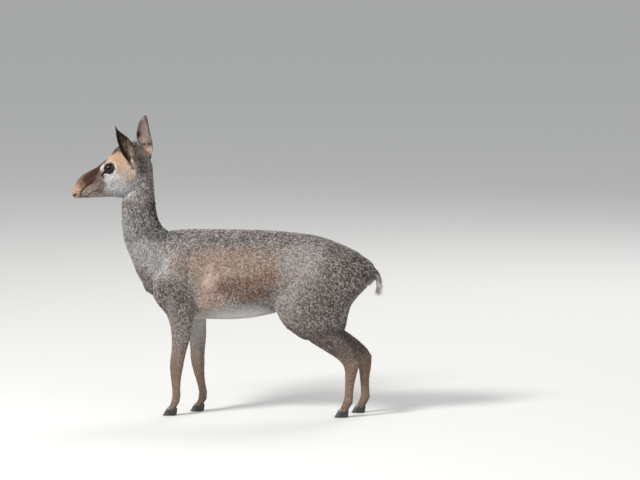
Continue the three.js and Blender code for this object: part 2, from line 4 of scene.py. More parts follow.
import bpy
import numpy as np
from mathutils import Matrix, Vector
from mathutils.bvhtree import BVHTree
from mathutils.kdtree import KDTree


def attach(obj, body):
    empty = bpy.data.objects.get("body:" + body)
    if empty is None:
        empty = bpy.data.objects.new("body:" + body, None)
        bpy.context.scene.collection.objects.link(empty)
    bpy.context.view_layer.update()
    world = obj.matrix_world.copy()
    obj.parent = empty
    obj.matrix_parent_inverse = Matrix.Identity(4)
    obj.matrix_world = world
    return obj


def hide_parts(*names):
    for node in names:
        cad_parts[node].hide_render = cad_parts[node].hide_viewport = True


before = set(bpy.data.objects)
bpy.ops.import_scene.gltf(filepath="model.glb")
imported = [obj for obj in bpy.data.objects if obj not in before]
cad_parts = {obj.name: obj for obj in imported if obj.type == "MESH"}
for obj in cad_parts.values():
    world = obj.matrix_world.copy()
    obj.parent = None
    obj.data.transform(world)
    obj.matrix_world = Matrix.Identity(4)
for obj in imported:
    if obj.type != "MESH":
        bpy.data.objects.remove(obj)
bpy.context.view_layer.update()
bpy.ops.object.select_all(action="DESELECT")

# The hide
# One skin drawn over the whole body, from the nose to the pasterns and the ear tips, without a seam.
# It is laid over the flesh of the solids, then pulled in by the depth of the coat that it carries.

MM = 0.001
SKIN_VOXEL = 1.0
SKIN_TRIANGLES = 190_000
PART_GROWTH = 0.42
SIDES = {"left": -1, "right": 1}
FORELEG = ("upper", "forearm", "knee", "cannon", "pastern")
HINDLEG = ("thigh", "shank", "hock", "cannon", "pastern")
FLESH = ["head", "lower_jaw", "nose", "ear_left", "ear_right", "neck", "torso", "tail"]
for side in SIDES:
    FLESH += [f"foreleg_{side}_{part}" for part in FORELEG]
    FLESH += [f"hindleg_{side}_{part}" for part in HINDLEG]


def only(*pieces):
    """Selects these pieces alone and makes the first one active."""
    bpy.ops.object.select_all(action="DESELECT")
    for piece in pieces:
        piece.select_set(True)
    bpy.context.view_layer.objects.active = pieces[0]


def copied(node, name):
    """A free copy of a CAD node's mesh with its loose triangles merged."""
    piece = bpy.data.objects.new(name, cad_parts[node].data.copy())
    piece.data.materials.clear()
    bpy.context.scene.collection.objects.link(piece)
    only(piece)
    bpy.ops.object.mode_set(mode="EDIT")
    bpy.ops.mesh.select_all(action="SELECT")
    bpy.ops.mesh.remove_doubles(threshold=1e-6)
    bpy.ops.object.mode_set(mode="OBJECT")
    return piece


def modified(piece, kind, **settings):
    """Adds a modifier with these settings and applies it."""
    only(piece)
    modifier = piece.modifiers.new(kind.lower(), kind)
    for key, value in settings.items():
        setattr(modifier, key, value)
    bpy.ops.object.modifier_apply(modifier=modifier.name)


def points_of(mesh):
    """The mesh's points in millimetres, and its normals."""
    points = np.empty(len(mesh.vertices) * 3, np.float32)
    mesh.vertices.foreach_get("co", points)
    normals = np.empty(len(mesh.vertices) * 3, np.float32)
    mesh.vertex_normals.foreach_get("vector", normals)
    return points.reshape(-1, 3) / MM, normals.reshape(-1, 3)


def move_points(mesh, points):
    """Puts the mesh's points at these places, given in millimetres."""
    mesh.vertices.foreach_set("co", (points * MM).astype(np.float32).ravel())
    mesh.update()


def weighted(piece, name, weights):
    """A vertex group with a weight from 0 to 1 for each point, in tenths."""
    group = piece.vertex_groups.new(name=name)
    tenths = np.round(np.clip(weights, 0, 1) * 10).astype(int)
    for tenth in range(1, 11):
        chosen = np.flatnonzero(tenths == tenth)
        if len(chosen):
            group.add(chosen.tolist(), tenth / 10, "REPLACE")
    return group.name


# The head has a frame of its own, from the back of the skull: ahead along the head's axis, out to a side, and
# up from the axis.
HEAD_BACK = np.array((-160.74, 0, 487))
HEAD_TILT = math.radians(17.3)
HEAD_AXES = np.array(
    (
        (-math.cos(HEAD_TILT), 0, -math.sin(HEAD_TILT)),
        (0, 1, 0),
        (-math.sin(HEAD_TILT), 0, math.cos(HEAD_TILT)),
    )
)


def in_head(points):
    """Places in the head's frame, millimetres."""
    return (points - HEAD_BACK) @ HEAD_AXES.T


def from_head(places):
    """Places in the object's frame from places in the head's frame, millimetres."""
    return np.asarray(places, float) @ HEAD_AXES + HEAD_BACK


def soft_step(values, low, high):
    """0 below low, 1 above high, and smooth between them."""
    share = np.clip((values - low) / (high - low), 0, 1)
    return share * share * (3 - 2 * share)


HEAD_LOWEST = 395
LEG_BLEND = (150, 205)


def on_parts(points):
    """Shares from 0 to 1 that tell how far each point lies on the head and on the lower legs."""
    along, _, above = in_head(points).T
    head = soft_step(along, -24, 6) * soft_step(above, -64, -40) * (points[:, 2] > HEAD_LOWEST)
    return head, 1 - soft_step(points[:, 2], *LEG_BLEND)


skin_parts = []
for node in FLESH:
    part = copied(node, "skin_part")
    modified(part, "DISPLACE", strength=PART_GROWTH * MM, mid_level=0)
    skin_parts.append(part)
only(*skin_parts)
bpy.ops.object.join()
skin = bpy.context.object
skin.name = "skin"
modified(skin, "REMESH", mode="VOXEL", voxel_size=SKIN_VOXEL * MM)
solid_form = BVHTree.FromObject(skin, bpy.context.evaluated_depsgraph_get())
head, legs = on_parts(points_of(skin.data)[0])
# Smoothing works from voxel to voxel, so that the same softness takes fewer rounds on coarser ones.
rounds = 1 / SKIN_VOXEL**2
modified(skin, "SMOOTH", iterations=max(1, round(4 * rounds)), factor=0.5)
body_group = weighted(skin, "body", (1 - head) * (1 - 0.94 * legs))
modified(skin, "SMOOTH", iterations=round(100 * rounds), factor=0.5, vertex_group=body_group)
leg_group = weighted(skin, "legs", legs * (1 - head))
modified(skin, "SMOOTH", iterations=round(14 * rounds), factor=0.5, vertex_group=leg_group)
head, legs = on_parts(points_of(skin.data)[0])
muzzle = head * soft_step(in_head(points_of(skin.data)[0])[:, 0], 30, 60)
coarse_group = weighted(skin, "coarse", 0.9 - 0.45 * head - 0.45 * muzzle - 0.3 * legs * (1 - head))
modified(
    skin,
    "DECIMATE",
    ratio=SKIN_TRIANGLES / (2 * len(skin.data.polygons)),
    vertex_group=coarse_group,
    vertex_group_factor=4,
)
skin.vertex_groups.clear()
only(skin)
bpy.ops.object.shade_smooth()

# Each point of the skin belongs to the flesh node that lies nearest.
tree = KDTree(sum(len(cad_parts[node].data.vertices) for node in FLESH))
for index, node in enumerate(FLESH):
    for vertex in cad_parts[node].data.vertices:
        tree.insert(vertex.co, index)
tree.balance()
nearest = np.array([tree.find(vertex.co)[1] for vertex in skin.data.vertices])
edges = np.empty(len(skin.data.edges) * 2, np.int32)
skin.data.edges.foreach_get("vertices", edges)
edge_start, edge_end = edges.reshape(-1, 2).T
neighbours = np.bincount(edges, minlength=len(nearest))


def spread(values, rounds):
    """Evens values out over the skin by averaging each point with its neighbours."""
    for _ in range(rounds):
        sums = [
            np.bincount(edge_start, column[edge_end], len(nearest))
            + np.bincount(edge_end, column[edge_start], len(nearest))
            for column in values.T
        ]
        values = (values + np.stack(sums, axis=1) / neighbours[:, None]) / 2
    return values


def lost_depth():
    """How far smoothing has sunk the skin under the solids' surface, millimetres."""
    points, normals = points_of(skin.data)
    places = np.array([solid_form.find_nearest(Vector(point))[0] for point in points * MM]) / MM
    return np.clip(((places - points) * normals).sum(axis=1) - PART_GROWTH, -1, 7)


# The coat of each part: depth, length and width of a tuft in millimetres, and tufts to a square centimetre.
COATS = {
    "head": (0.8, 3.4, 0.75, 90),
    "lower_jaw": (0.7, 3.4, 0.75, 90),
    "nose": (0.5, 2.6, 0.58, 108),
    "ear": (0.25, 2.8, 0.55, 80),
    "neck": (1.6, 5.8, 0.95, 75),
    "torso": (1.8, 6.4, 1.03, 66),
    "tail": (3.2, 17, 1.7, 130),
    "upper": (1.5, 5.8, 1.0, 68),
    "thigh": (1.6, 6.0, 1.0, 68),
    "forearm": (0.9, 5.0, 0.9, 68),
    "shank": (1.1, 5.8, 0.95, 64),
    "knee": (0.6, 3.8, 0.8, 80),
    "hock": (0.7, 4.2, 0.8, 76),
    "cannon": (0.55, 3.8, 0.75, 86),
    "pastern": (0.7, 4.0, 0.75, 80),
}
# The way in which the hair lies on each part.
EAR_WAYS = {"left": (-28, -28, 76), "right": (-5, 27, 84)}
HAIR_WAYS = {
    "head": (0.93, 0, 0.1),
    "lower_jaw": (1, 0, 0.12),
    "nose": (0.9, 0, 0.42),
    "neck": (0.35, 0, -1),
    "torso": (1, 0, -0.28),
    "tail": (0.25, 0, -1),
    "upper": (0.3, 0, -1),
    "thigh": (0.55, 0, -0.85),
    "forearm": (0.05, 0, -1),
    "shank": (0.65, 0, -0.8),
    "knee": (0, 0, -1),
    "hock": (0.1, 0, -1),
    "cannon": (0, 0, -1),
    "pastern": (-0.3, 0, -1),
}


def coat_of(node):
    """The coat values of a flesh node, and then the hair's way as a direction."""
    if node.startswith("ear_"):
        part, way = "ear", np.array(EAR_WAYS[node.removeprefix("ear_")], float)
    else:
        part = node if node in COATS else node.split("_")[-1]
        way = np.array(HAIR_WAYS[part], float)
    return (*COATS[part], *(way / np.linalg.norm(way)))


DEPTH, LENGTH, WIDTH, DENSITY = range(4)
WAY = slice(4, 7)
coat = spread(np.array([coat_of(node) for node in FLESH])[nearest], 26)
# Smoothing has also sunk the skin where the body is round, and this brings it back out in two passes.
for rounds in ((34, 14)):
    points, normals = points_of(skin.data)
    move_points(skin.data, points + normals * spread(lost_depth()[:, None], rounds))


def away_from(points, line, reach):
    """Distance from a line through some corners, counted in reaches, with one reach for each axis."""
    scaled = points / np.asarray(reach, float)
    corners = np.array(line, float).reshape(-1, 3) / np.asarray(reach, float)
    away = np.linalg.norm(scaled - corners[0], axis=1)
    for start, end in zip(corners, corners[1:]):
        run = end - start
        share = np.clip((scaled - start) @ run / (run @ run), 0, 1)
        away = np.minimum(away, np.linalg.norm(scaled - start - share[:, None] * run, axis=1))
    return away


def sculpted(places, forms):
    """The lift at each place from a list of forms, each a height, a reach and the corners of its line."""
    lift = np.zeros(len(places))
    for height, reach, line in forms:
        lift += height * np.exp(-(away_from(places, line, reach) ** 2))
    return lift


# Where bone, tendon and muscle show through, both sides alike, in the object's frame.
BODY_FORMS = [
    (2.4, (12, 20, 12), [(-62, 40, 352), (-92, 46, 318), (-122, 44, 274)]),  # ridge of the shoulder blade
    (2.6, (15, 20, 20), [(-92, 50, 262), (-76, 50, 226)]),  # muscle of the upper arm
    (-2.6, (11, 20, 14), [(-34, 52, 312), (-46, 54, 262), (-60, 46, 218)]),  # crease behind the shoulder
    (-1.6, (12, 18, 14), [(-128, 38, 300), (-118, 42, 262)]),  # dip before the shoulder
    (-3.0, (26, 16, 16), [(100, 52, 240)]),  # hollow of the flank
    (2.0, (7, 14, 16), [(112, 44, 262), (122, 44, 214)]),  # fold from the flank to the knee
    (1.8, (20, 20, 14), [(162, 44, 336)]),  # point of the hip
    (-1.6, (10, 20, 20), [(226, 46, 322), (232, 48, 262), (214, 48, 214)]),  # groove behind the thigh
    (1.4, (16, 16, 16), [(132, 44, 214)]),  # muscle over the stifle
    (-1.5, (7, 20, 20), [(-140, 30, 470), (-150, 30, 390), (-132, 34, 330)]),  # groove along the neck
    (1.5, (6, 8, 9), [(-196, 0, 430)]),  # larynx
    (3.4, (17, 24, 14), [(-117, 0, 368)]),  # withers
    (-4.0, (26, 44, 34), [(-184, 0, 304), (-172, 0, 276)]),  # front of the breast
    (3.2, (22, 34, 24), [(-138, 24, 228)]),  # front of the upper arm
    (0.9, (7, 18, 5), [(-20, 54, 330), (2, 57, 216)]),  # faint ribs
    (0.9, (7, 18, 5), [(6, 54, 334), (28, 58, 218)]),
    (0.8, (7, 18, 5), [(32, 54, 336), (54, 58, 226)]),
]
# The same on the head, in the head's frame: the folds and the openings of the face.
MOUTH_LINE = [(131, 8, -12.4), (120, 12, -9.4), (110, 14, -7)]
NOSE_FOLD = [(140, 8, -9), (137, 12, -1), (127, 14, 5), (116, 15, 9), (106, 17, 12), (99, 18, 16)]
HEAD_FORMS = [
    (-1.9, (1.5, 12, 1.5), NOSE_FOLD),
    (0.7, (2.4, 12, 2.4), [(138, 12, 4), (127, 14, 9.5), (116, 15, 13.5)]),  # edge of the nose over the fold
    (-1.8, (1.2, 12, 1.0), [*MOUTH_LINE, (99, 16, -7.6)]),  # mouth
    (0.7, (3, 12, 1.6), [(128, 9, -9), (118, 12, -5.8), (108, 14, -3.6)]),  # upper lip
    (0.6, (3, 12, 1.6), [(126, 9, -15.4), (112, 12, -11.6), (102, 15, -11.4)]),  # lower lip
    (-2.6, (1.9, 9, 3.2), [(85.5, 23, 21.5), (84, 23, 17.5)]),  # pit of the gland before the eye
    (0.8, (4.6, 9, 5.6), [(85, 23, 19.5)]),  # its swollen rim
    (-2.2, (1.6, 3, 1.6), [(151.5, 6, -3.4), (147, 9.5, -2)]),  # nostril
    (0.8, (3.4, 5, 3.2), [(149, 9.5, 1.8)]),  # wing of the nostril
    (-0.9, (2.0, 12, 1.6), [(72, 24, 42), (62, 26, 44.5), (51, 28, 40)]),  # fold over the upper lid
    (1.0, (9, 14, 4), [(60, 30, 9), (40, 32, 4)]),  # cheekbone
    (-1.0, (12, 14, 7), [(86, 24, -2), (74, 28, -6)]),  # hollow before the jaw muscle
    (0.9, (12, 14, 12), [(42, 34, -18)]),  # jaw muscle
    (-0.8, (5, 14, 8), [(24, 34, -22), (30, 34, 4)]),  # edge of the jaw behind it
]


def mirrored(places):
    """The same places brought to the positive side."""
    return places * (1, 0, 1) + np.abs(places) * (0, 1, 0)


points, normals = points_of(skin.data)
head = on_parts(points)[0]
ear_nodes = [FLESH.index("ear_left"), FLESH.index("ear_right")]
ear_share = spread(np.isin(nearest, ear_nodes).astype(float)[:, None], 1)[:, 0]
lift = sculpted(mirrored(points), BODY_FORMS) * (1 - head)
lift += sculpted(mirrored(in_head(points)), HEAD_FORMS) * head * (1 - ear_share)
move_points(skin.data, points + normals * (lift - coat[:, DEPTH])[:, None])


# The eye's place in the head's frame, how far it looks ahead, and the opening of the lids round it.
EYE_PLACE = np.array((63, 23.2, 28))
EYE_RADIUS = 12.3
EYE_FORWARD = math.radians(16)


def eye_centre(sign):
    """The middle of an eye in the object's frame."""
    return from_head(EYE_PLACE * (1, sign, 1))


LID_BACK, LID_FRONT, LID_TOP, LID_BOTTOM = 10.6, -13.2, 10.8, -10.0
LID_CURVES = [
    ((LID_BACK, 0.5), (LID_BACK, 0.75 * LID_TOP), (5, LID_TOP), (-1, LID_TOP)),
    ((-1, LID_TOP), (-7, LID_TOP), (-10, 3), (LID_FRONT, -4.2)),
    ((LID_FRONT, -4.2), (-8, -6.2), (-5, LID_BOTTOM), (0.5, LID_BOTTOM)),
    ((0.5, LID_BOTTOM), (6.5, LID_BOTTOM), (LID_BACK, -5), (LID_BACK, 0.5)),
]
LID_TURN = HEAD_TILT + math.radians(6)


def lid_line(sign, radius, steps=12, grow=1.0):
    """Points along the edge of the lids, on a ball of this radius round the eye's middle."""
    line = []
    for curve in LID_CURVES:
        for step in range(steps):
            t = step / steps
            blend = np.array(((1 - t) ** 3, 3 * t * (1 - t) ** 2, 3 * t * t * (1 - t), t**3))
            line.append(blend @ np.array(curve) * grow)
    flat = np.array(line)
    x = flat[:, 0] * math.cos(LID_TURN) - flat[:, 1] * math.sin(LID_TURN)
    z = flat[:, 0] * math.sin(LID_TURN) + flat[:, 1] * math.cos(LID_TURN)
    y = sign * np.sqrt(np.maximum(radius**2 - x**2 - z**2, 9))
    cosine, sine = math.cos(EYE_FORWARD), sign * math.sin(EYE_FORWARD)
    return np.stack((x * cosine - y * sine, x * sine + y * cosine, z), axis=1) + eye_centre(sign)


def hair(red, green, blue):
    """A colour as amounts of light from 0 to 1, from its screen values from 0 to 255."""
    value = np.array((red, green, blue)) / 255
    return np.where(value <= 0.04045, value / 12.92, ((value + 0.055) / 1.055) ** 2.4)


# The colours of the hair and where they lie. Each mark is a colour, its strength, how grizzled it is, its
# reach, and the corners of a line. It is full to half its reach from the line and gone at one and a half.
GROUND_COLOUR = hair(152, 141, 134)
BODY_MARKS = [
    (hair(141, 132, 128), 0.9, 1.0, (200, 60, 40), [(-60, 0, 372), (250, 0, 350)]),  # back
    (hair(128, 121, 119), 0.95, 1.1, (48, 60, 60), [(-168, 20, 470), (-172, 20, 390)]),  # neck
    (hair(180, 177, 177), 0.8, 1.0, (17, 40, 46), [(-204, 0, 400), (-192, 0, 330)]),  # front of the neck
    (hair(34, 28, 22), 1.0, 0.55, (21, 32, 30), [(-140, 0, 505), (-138, 0, 440), (-124, 0, 388)]),  # nape, darkened with painted shade
    (hair(80, 74, 72), 0.9, 0.8, (22, 50, 15), [(-132, 20, 364)]),  # root of the neck
    (hair(206, 202, 201), 0.9, 0.85, (30, 60, 28), [(-166, 30, 330), (-128, 40, 306)]),  # before the shoulder
    (hair(178, 168, 160), 0.6, 0.9, (34, 60, 34), [(-84, 50, 322)]),  # shoulder blade, lightened with painted light
    (hair(116, 100, 88), 0.8, 0.9, (34, 60, 30), [(-98, 50, 244)]),  # muscle of the arm, darkened with painted shade
    (hair(196, 166, 145), 0.9, 0.75, (80, 60, 34), [(-10, 50, 304), (60, 50, 306)]),  # sandy flank
    (hair(210, 180, 162), 0.85, 0.7, (32, 60, 36), [(-30, 50, 268), (-30, 50, 240)]),  # its paler front
    (hair(236, 208, 192), 0.7, 0.5, (17, 60, 15), [(-30, 50, 272)]),  # pale pink spot
    (hair(128, 88, 64), 0.85, 0.6, (34, 60, 19), [(12, 50, 262), (50, 50, 252)]),  # rusty patch
    (hair(150, 112, 88), 0.7, 0.6, (30, 60, 17), [(60, 50, 272), (104, 50, 284)]),  # its fading rear end
    (hair(188, 176, 166), 0.8, 0.8, (22, 60, 44), [(132, 50, 290), (122, 50, 240)]),  # fold of the flank
    (hair(202, 190, 183), 0.85, 0.85, (46, 60, 34), [(150, 50, 316), (190, 50, 300)]),  # hip, lightened with painted light
    (hair(114, 99, 87), 0.9, 1.0, (44, 60, 56), [(232, 50, 290), (214, 50, 212)]),  # thigh, darkened with painted shade
    (hair(98, 84, 72), 0.9, 0.9, (30, 70, 50), [(282, 20, 310)]),  # rump, darkened with painted shade
    (hair(255, 254, 252), 1.0, 0.0, (46, 66, 34), [(4, 0, 190), (52, 0, 197)]),  # belly
    (hair(236, 232, 228), 1.0, 0.1, (90, 24, 30), [(-60, 0, 190), (110, 0, 200)]),  # middle of the underside
    (hair(176, 164, 156), 0.7, 0.5, (10, 40, 44), [(-108, 34, 204), (-106, 34, 150)]),  # front of the forearm
    (hair(226, 220, 214), 0.9, 0.2, (50, 16, 80), [(-60, 12, 196)]),  # breast between the legs
    (hair(232, 226, 220), 0.9, 0.1, (90, 13, 70), [(190, 12, 210)]),  # inside of the thighs
    (hair(228, 222, 216), 0.9, 0.1, (20, 18, 22), [(296, 0, 262), (290, 0, 250)]),  # under the tail
]
LID_EDGE = in_head(lid_line(1, EYE_RADIUS))
WHITE_RING = in_head(lid_line(1, EYE_RADIUS, grow=1.2))
TEAR_CORNER = [(77, 23, 24), (82, 23, 21.5), (84.5, 23, 19), (83.5, 23, 15)]
NOSE_SHADE = [(139, 8, -9), (136, 12, -1), (127, 14, 5), (117, 15, 8.5)]
HEAD_MARKS = [
    (hair(152, 130, 114), 1.0, 0.7, (160, 90, 90), [(60, 0, 20)]),  # ground of the face
    (hair(150, 145, 143), 0.9, 1.0, (30, 60, 40), [(20, 30, -26), (0, 30, 0)]),  # side of the throat
    (hair(204, 206, 210), 0.95, 1.0, (22, 40, 17), [(62, 34, -2), (70, 30, -20), (46, 34, -26)]),  # cheek
    (hair(238, 196, 160), 0.95, 0.35, (16, 40, 17), [(34, 34, 34), (50, 28, 46), (24, 34, 20)]),  # temple
    (hair(216, 196, 178), 0.85, 0.6, (14, 40, 14), [(28, 34, 10), (42, 34, 6)]),  # paler below it
    (hair(122, 102, 84), 0.9, 0.8, (24, 10, 9), [(66, 0, 52), (34, 0, 64)]),  # forehead
    (hair(64, 30, 2), 1.0, 0.15, (16, 15, 14), [(86, 6, 38), (98, 8, 30), (114, 10, 18)]),  # brown bridge
    (hair(122, 82, 52), 0.7, 0.2, (20, 5, 5), [(84, 0, 47), (104, 0, 36), (124, 0, 22)]),  # painted highlight along the top of the bridge
    (hair(138, 96, 66), 0.8, 0.3, (8, 15, 9), [(131, 8, 9), (134, 4, 15)]),  # its paler end
    (hair(204, 164, 138), 0.9, 0.5, (9, 15, 10), [(143, 6, 7), (148, 0, 0)]),  # tip of the nose
    (hair(96, 78, 68), 0.75, 0.5, (8, 20, 14), [(92, 20, 8), (97, 18, -8)]),  # shade before the cheek
    (hair(158, 138, 122), 0.9, 0.5, (17, 20, 6), [(116, 12, 1), (127, 10, -5)]),  # upper lip
    (hair(186, 176, 168), 0.9, 0.4, (24, 20, 6), [(118, 8, -18), (94, 14, -22)]),  # chin
    (hair(72, 62, 54), 0.95, 0.8, (18, 12, 9), [(28, 0, 62), (-2, 0, 46)]),  # crown
    (hair(44, 36, 27), 0.95, 0.5, (13, 26, 13), [(-4, 26, 24), (2, 28, 8)]),  # dark hair behind the ear, with the painted shadow that the ear casts there
    (hair(238, 230, 224), 0.9, 0.1, (2.2, 30, 2.2), [*WHITE_RING, WHITE_RING[0]]),  # white ring of the eye
    (hair(244, 238, 234), 0.95, 0.1, (4.2, 8, 5), [(81.5, 21, 33), (77.5, 21, 39)]),  # white before the eye
    (hair(226, 223, 224), 0.8, 0.2, (13, 30, 6.5), [(70, 30, 10), (60, 30, 9)]),  # white under the eye
    (hair(20, 15, 13), 1.0, 0.0, (0.8, 30, 0.8), [*LID_EDGE, LID_EDGE[0]]),  # black edge of the lids
    (hair(22, 17, 15), 1.0, 0.0, (2.0, 14, 2.6), TEAR_CORNER),  # gland
    (hair(34, 27, 24), 0.95, 0.0, (1.1, 14, 1.1), NOSE_SHADE),  # painted shade in the fold beside the lip
    (hair(34, 27, 25), 1.0, 0.0, (1.1, 14, 0.9), [*MOUTH_LINE, (101, 16, -7.4)]),  # mouth, painted shade in the slit between the lips
    (hair(26, 21, 20), 1.0, 0.0, (2.6, 5, 2.2), [(152, 5, -3.6), (147.5, 9, -2.2)]),  # nostril, painted shade in its opening
]


def lay(colours, colour, grizzle, mask):
    """Lays one colour over the others by the mask. Their fourth column is how grizzled the hair is."""
    colours += (np.append(colour, grizzle) - colours) * mask[:, None]


def paint(colours, places, marks, amount):
    """Lays each mark over the colours in turn."""
    for colour, strength, grizzle, reach, line in marks:
        mask = soft_step(1.5 - away_from(places, line, reach), 0, 1)
        lay(colours, colour, grizzle, mask * strength * amount)


LEG_SPREADS = {"foreleg": 32, "hindleg": 34}
FORELEG_ENDS = 60


def leg_side(points):
    """How far out from the middle of the body the leg nearest to each point stands."""
    return np.where(points[:, 0] < FORELEG_ENDS, LEG_SPREADS["foreleg"], LEG_SPREADS["hindleg"])


# Each ear is a cupped leaf: the ends of its axis, the way it opens at the root, how far its axis bows, how
# far the cup turns up to the tip, and the half widths round the cup at the stations along its length.
EAR_STATIONS = (-0.1, 0.05, 0.15, 0.3, 0.5, 0.65, 0.75, 0.86, 0.95, 1)
# How far round the cup goes to each side of its middle, in radians, at some shares of its length.
EAR_WRAP = ((-0.1, 0.05, 0.15, 0.3, 0.6, 1), (2.75, 2.35, 1.8, 1.25, 0.85, 0.5))
EARS = {
    "left": {
        "ends": ((-185.9, -29, 507.4), (-214.2, -57, 583)),
        "open": (0.2, -0.95, 0.2),
        "bow": 4,
        "twist": math.radians(62),
        "halves": (12, 16.5, 19.5, 21.5, 19.5, 15.5, 11.5, 6.6, 3, 1.2),
    },
    "right": {
        "ends": ((-160.5, 25, 516.4), (-165.2, 52, 600)),
        "open": (0.5, -0.85, 0.1),
        "bow": -5.5,
        "twist": 0,
        "halves": (14, 20.5, 22.5, 23, 20.5, 17, 14.5, 11, 6.5, 2.6),
    },
}


def in_ear(points, side):
    """Places in an ear: share of its length, share across from -1 at its front edge, and the way out."""
    ear = EARS[side]
    base, tip, opening = (np.array(value, float) for value in (*ear["ends"], ear["open"]))
    length = np.linalg.norm(tip - base)
    along = (tip - base) / length
    root_facing = opening - along * (opening @ along)
    root_facing /= np.linalg.norm(root_facing)
    local = points - base
    share = local @ along / length
    turn = (ear["twist"] * np.clip(share, 0, 1))[:, None]
    sideways = np.cross(along, root_facing)
    facing = root_facing * np.cos(turn) + sideways * np.sin(turn)
    wide = sideways * np.cos(turn) - root_facing * np.sin(turn)
    reach = np.interp(share, *EAR_WRAP)
    radius = np.interp(share, EAR_STATIONS, ear["halves"]) / reach
    across = (local * wide).sum(axis=1) - ear["bow"] * np.sin(np.pi * np.clip(share, 0, 1))
    deep = radius * 0.55 - (local * facing).sum(axis=1)
    angle = np.arctan2(across, deep)
    return share, angle / reach, wide * np.sin(angle)[:, None] - facing * np.cos(angle)[:, None]


# Inside the ears: colour, strength, share of the length and share across, and the reach of each.
EAR_MARKS = {
    "left": [
        (hair(82, 60, 40), 0.9, (0.42, 0.15), (0.26, 0.5)),  # brown middle
        (hair(206, 182, 158), 0.8, (0.2, 0.32), (0.1, 0.22)),  # pale hair low down
        (hair(178, 154, 132), 0.6, (0.32, 0.48), (0.11, 0.16)),  # thinner hair above it
        (hair(46, 37, 26), 0.9, (0.1, 0.85), (0.3, 0.22)),  # dark rear edge low down, partly dark hair and partly painted shadow
    ],
    "right": [
        (hair(144, 126, 122), 0.9, (0.75, 0.0), (0.4, 1.0)),  # thin greyish skin
        (hair(232, 200, 180), 0.9, (0.38, -0.1), (0.07, 0.4)),  # bare pink patch
        (hair(36, 24, 20), 0.95, (0.5, -0.6), (0.07, 0.3)),  # painted shadow of the left ear above it
        (hair(22, 16, 12), 1.0, (0.27, 0.3), (0.05, 0.6)),  # painted shadow below it
        (hair(228, 196, 166), 0.9, (0.1, 0.3), (0.12, 0.6)),  # pale hair low down
    ],
}


def paint_ears(colours, points, normals, amount):
    """Grey-brown backs, and inside them darker skin with a black band along the front or the rear edge; in
    the left ear the dark inside and the broad front band are painted shade.
    """
    for side, sign in SIDES.items():
        share, across, outwards = in_ear(points, side)
        here = amount * (np.sign(points[:, 1]) == sign)
        inside = soft_step(-(normals * outwards).sum(axis=1), -0.1, 0.3)
        colour = np.tile(np.append(hair(132, 116, 104), 0.5), (len(points), 1))
        if side == "left":
            # The left ear's inside is darkened with painted shade, and its black band widens into painted
            # shade inside the front rim, black at the tip as the ear's own dark rim.
            ground = hair(58, 41, 28)
            edge = across + 1
            band = np.interp(share, (0, 0.3, 0.6, 0.85, 1), (0.5, 0.66, 1.0, 1.8, 2.2))
        else:
            ground = hair(138, 120, 114)
            edge = 1 - across
            band = 0.12
        lay(colour, ground, 0.15, inside)
        for mark, strength, middle, reach in EAR_MARKS[side]:
            away = np.hypot((share - middle[0]) / reach[0], (across - middle[1]) / reach[1])
            lay(colour, mark, 0.1, soft_step(1.5 - away, 0, 1) * strength * inside)
        black = soft_step(band - edge, -0.06, 0.1) * soft_step(share, -0.05, 0.1) * inside
        lay(colour, hair(18, 13, 10), 0.05, 0.95 * black)
        colours += (colour - colours) * here[:, None]


def markings(points, normals, ears):
    """The colour of the coat at each point, with how grizzled it is in the fourth column."""
    height = points[:, 2]
    colours = np.tile(np.append(GROUND_COLOUR, 1.0), (len(points), 1))
    head = on_parts(points)[0]
    paint(colours, mirrored(points), BODY_MARKS, 1 - head)
    tan_leg = 0.92 * (1 - soft_step(height, 86, 176)) * (1 - head)
    # The hind legs' shanks are darkened with painted shade.
    shank = 0.8 * soft_step(height, 108, 128) * (1 - soft_step(height, 165, 200)) * (points[:, 0] > 100)
    inner = soft_step(leg_side(points) - 8 - np.abs(points[:, 1]), 0, 9) * (1 - soft_step(height, 180, 220))
    inner *= 0.6 * soft_step(height, 20, 60)
    lay(colours, hair(156, 127, 106), 0.25, tan_leg)
    lay(colours, hair(96, 79, 66), 0.45, shank)
    lay(colours, hair(226, 216, 206), 0.1, inner)
    paint(colours, mirrored(in_head(points)), HEAD_MARKS, head)
    paint_ears(colours, points, normals, ears)
    return colours


def keep_values(mesh, name, values, kind="FLOAT"):
    """Stores values on the mesh's points for the material to read."""
    attribute = mesh.attributes.new(name, kind, "POINT")
    field = "color" if kind == "FLOAT_COLOR" else "value"
    attribute.data.foreach_set(field, np.ascontiguousarray(values, np.float32).ravel())


def new_look(name, settings):
    """A new material, its nodes, and its shader with these settings."""
    material = bpy.data.materials.new(name)
    material.use_nodes = True
    tree = material.node_tree
    shader = tree.nodes["Principled BSDF"]
    for socket, value in settings.items():
        shader.inputs[socket].default_value = value
    return material, tree, shader


def fed(tree, socket, value):
    """Gives a socket a value of its own, or the output of another node."""
    if isinstance(value, bpy.types.NodeSocket):
        tree.links.new(value, socket)
    else:
        socket.default_value = value


def multiplied(tree, first, second):
    """One value times another."""
    node = tree.nodes.new("ShaderNodeMath")
    node.operation = "MULTIPLY"
    fed(tree, node.inputs[0], first)
    fed(tree, node.inputs[1], second)
    return node.outputs[0]


def mixed(tree, share, first, second, blend="MIX"):
    """A share of the second colour laid over the first."""
    node = tree.nodes.new("ShaderNodeMix")
    node.data_type = "RGBA"
    node.blend_type = blend
    fed(tree, node.inputs["Factor"], share)
    fed(tree, node.inputs[6], first)
    fed(tree, node.inputs[7], second)
    return node.outputs[2]


def ramped(tree, source, stops, easing="LINEAR"):
    """A ramp over a value. Each stop is a place with a grey value or a colour."""
    node = tree.nodes.new("ShaderNodeValToRGB")
    node.color_ramp.interpolation = easing
    elements = node.color_ramp.elements
    while len(elements) < len(stops):
        elements.new(0.5)
    for element, (place, colour) in zip(elements, stops):
        element.position = place
        element.color = (*colour, 1) if isinstance(colour, tuple) else (colour, colour, colour, 1)
    tree.links.new(source, node.inputs["Fac"])
    return node.outputs["Color"]


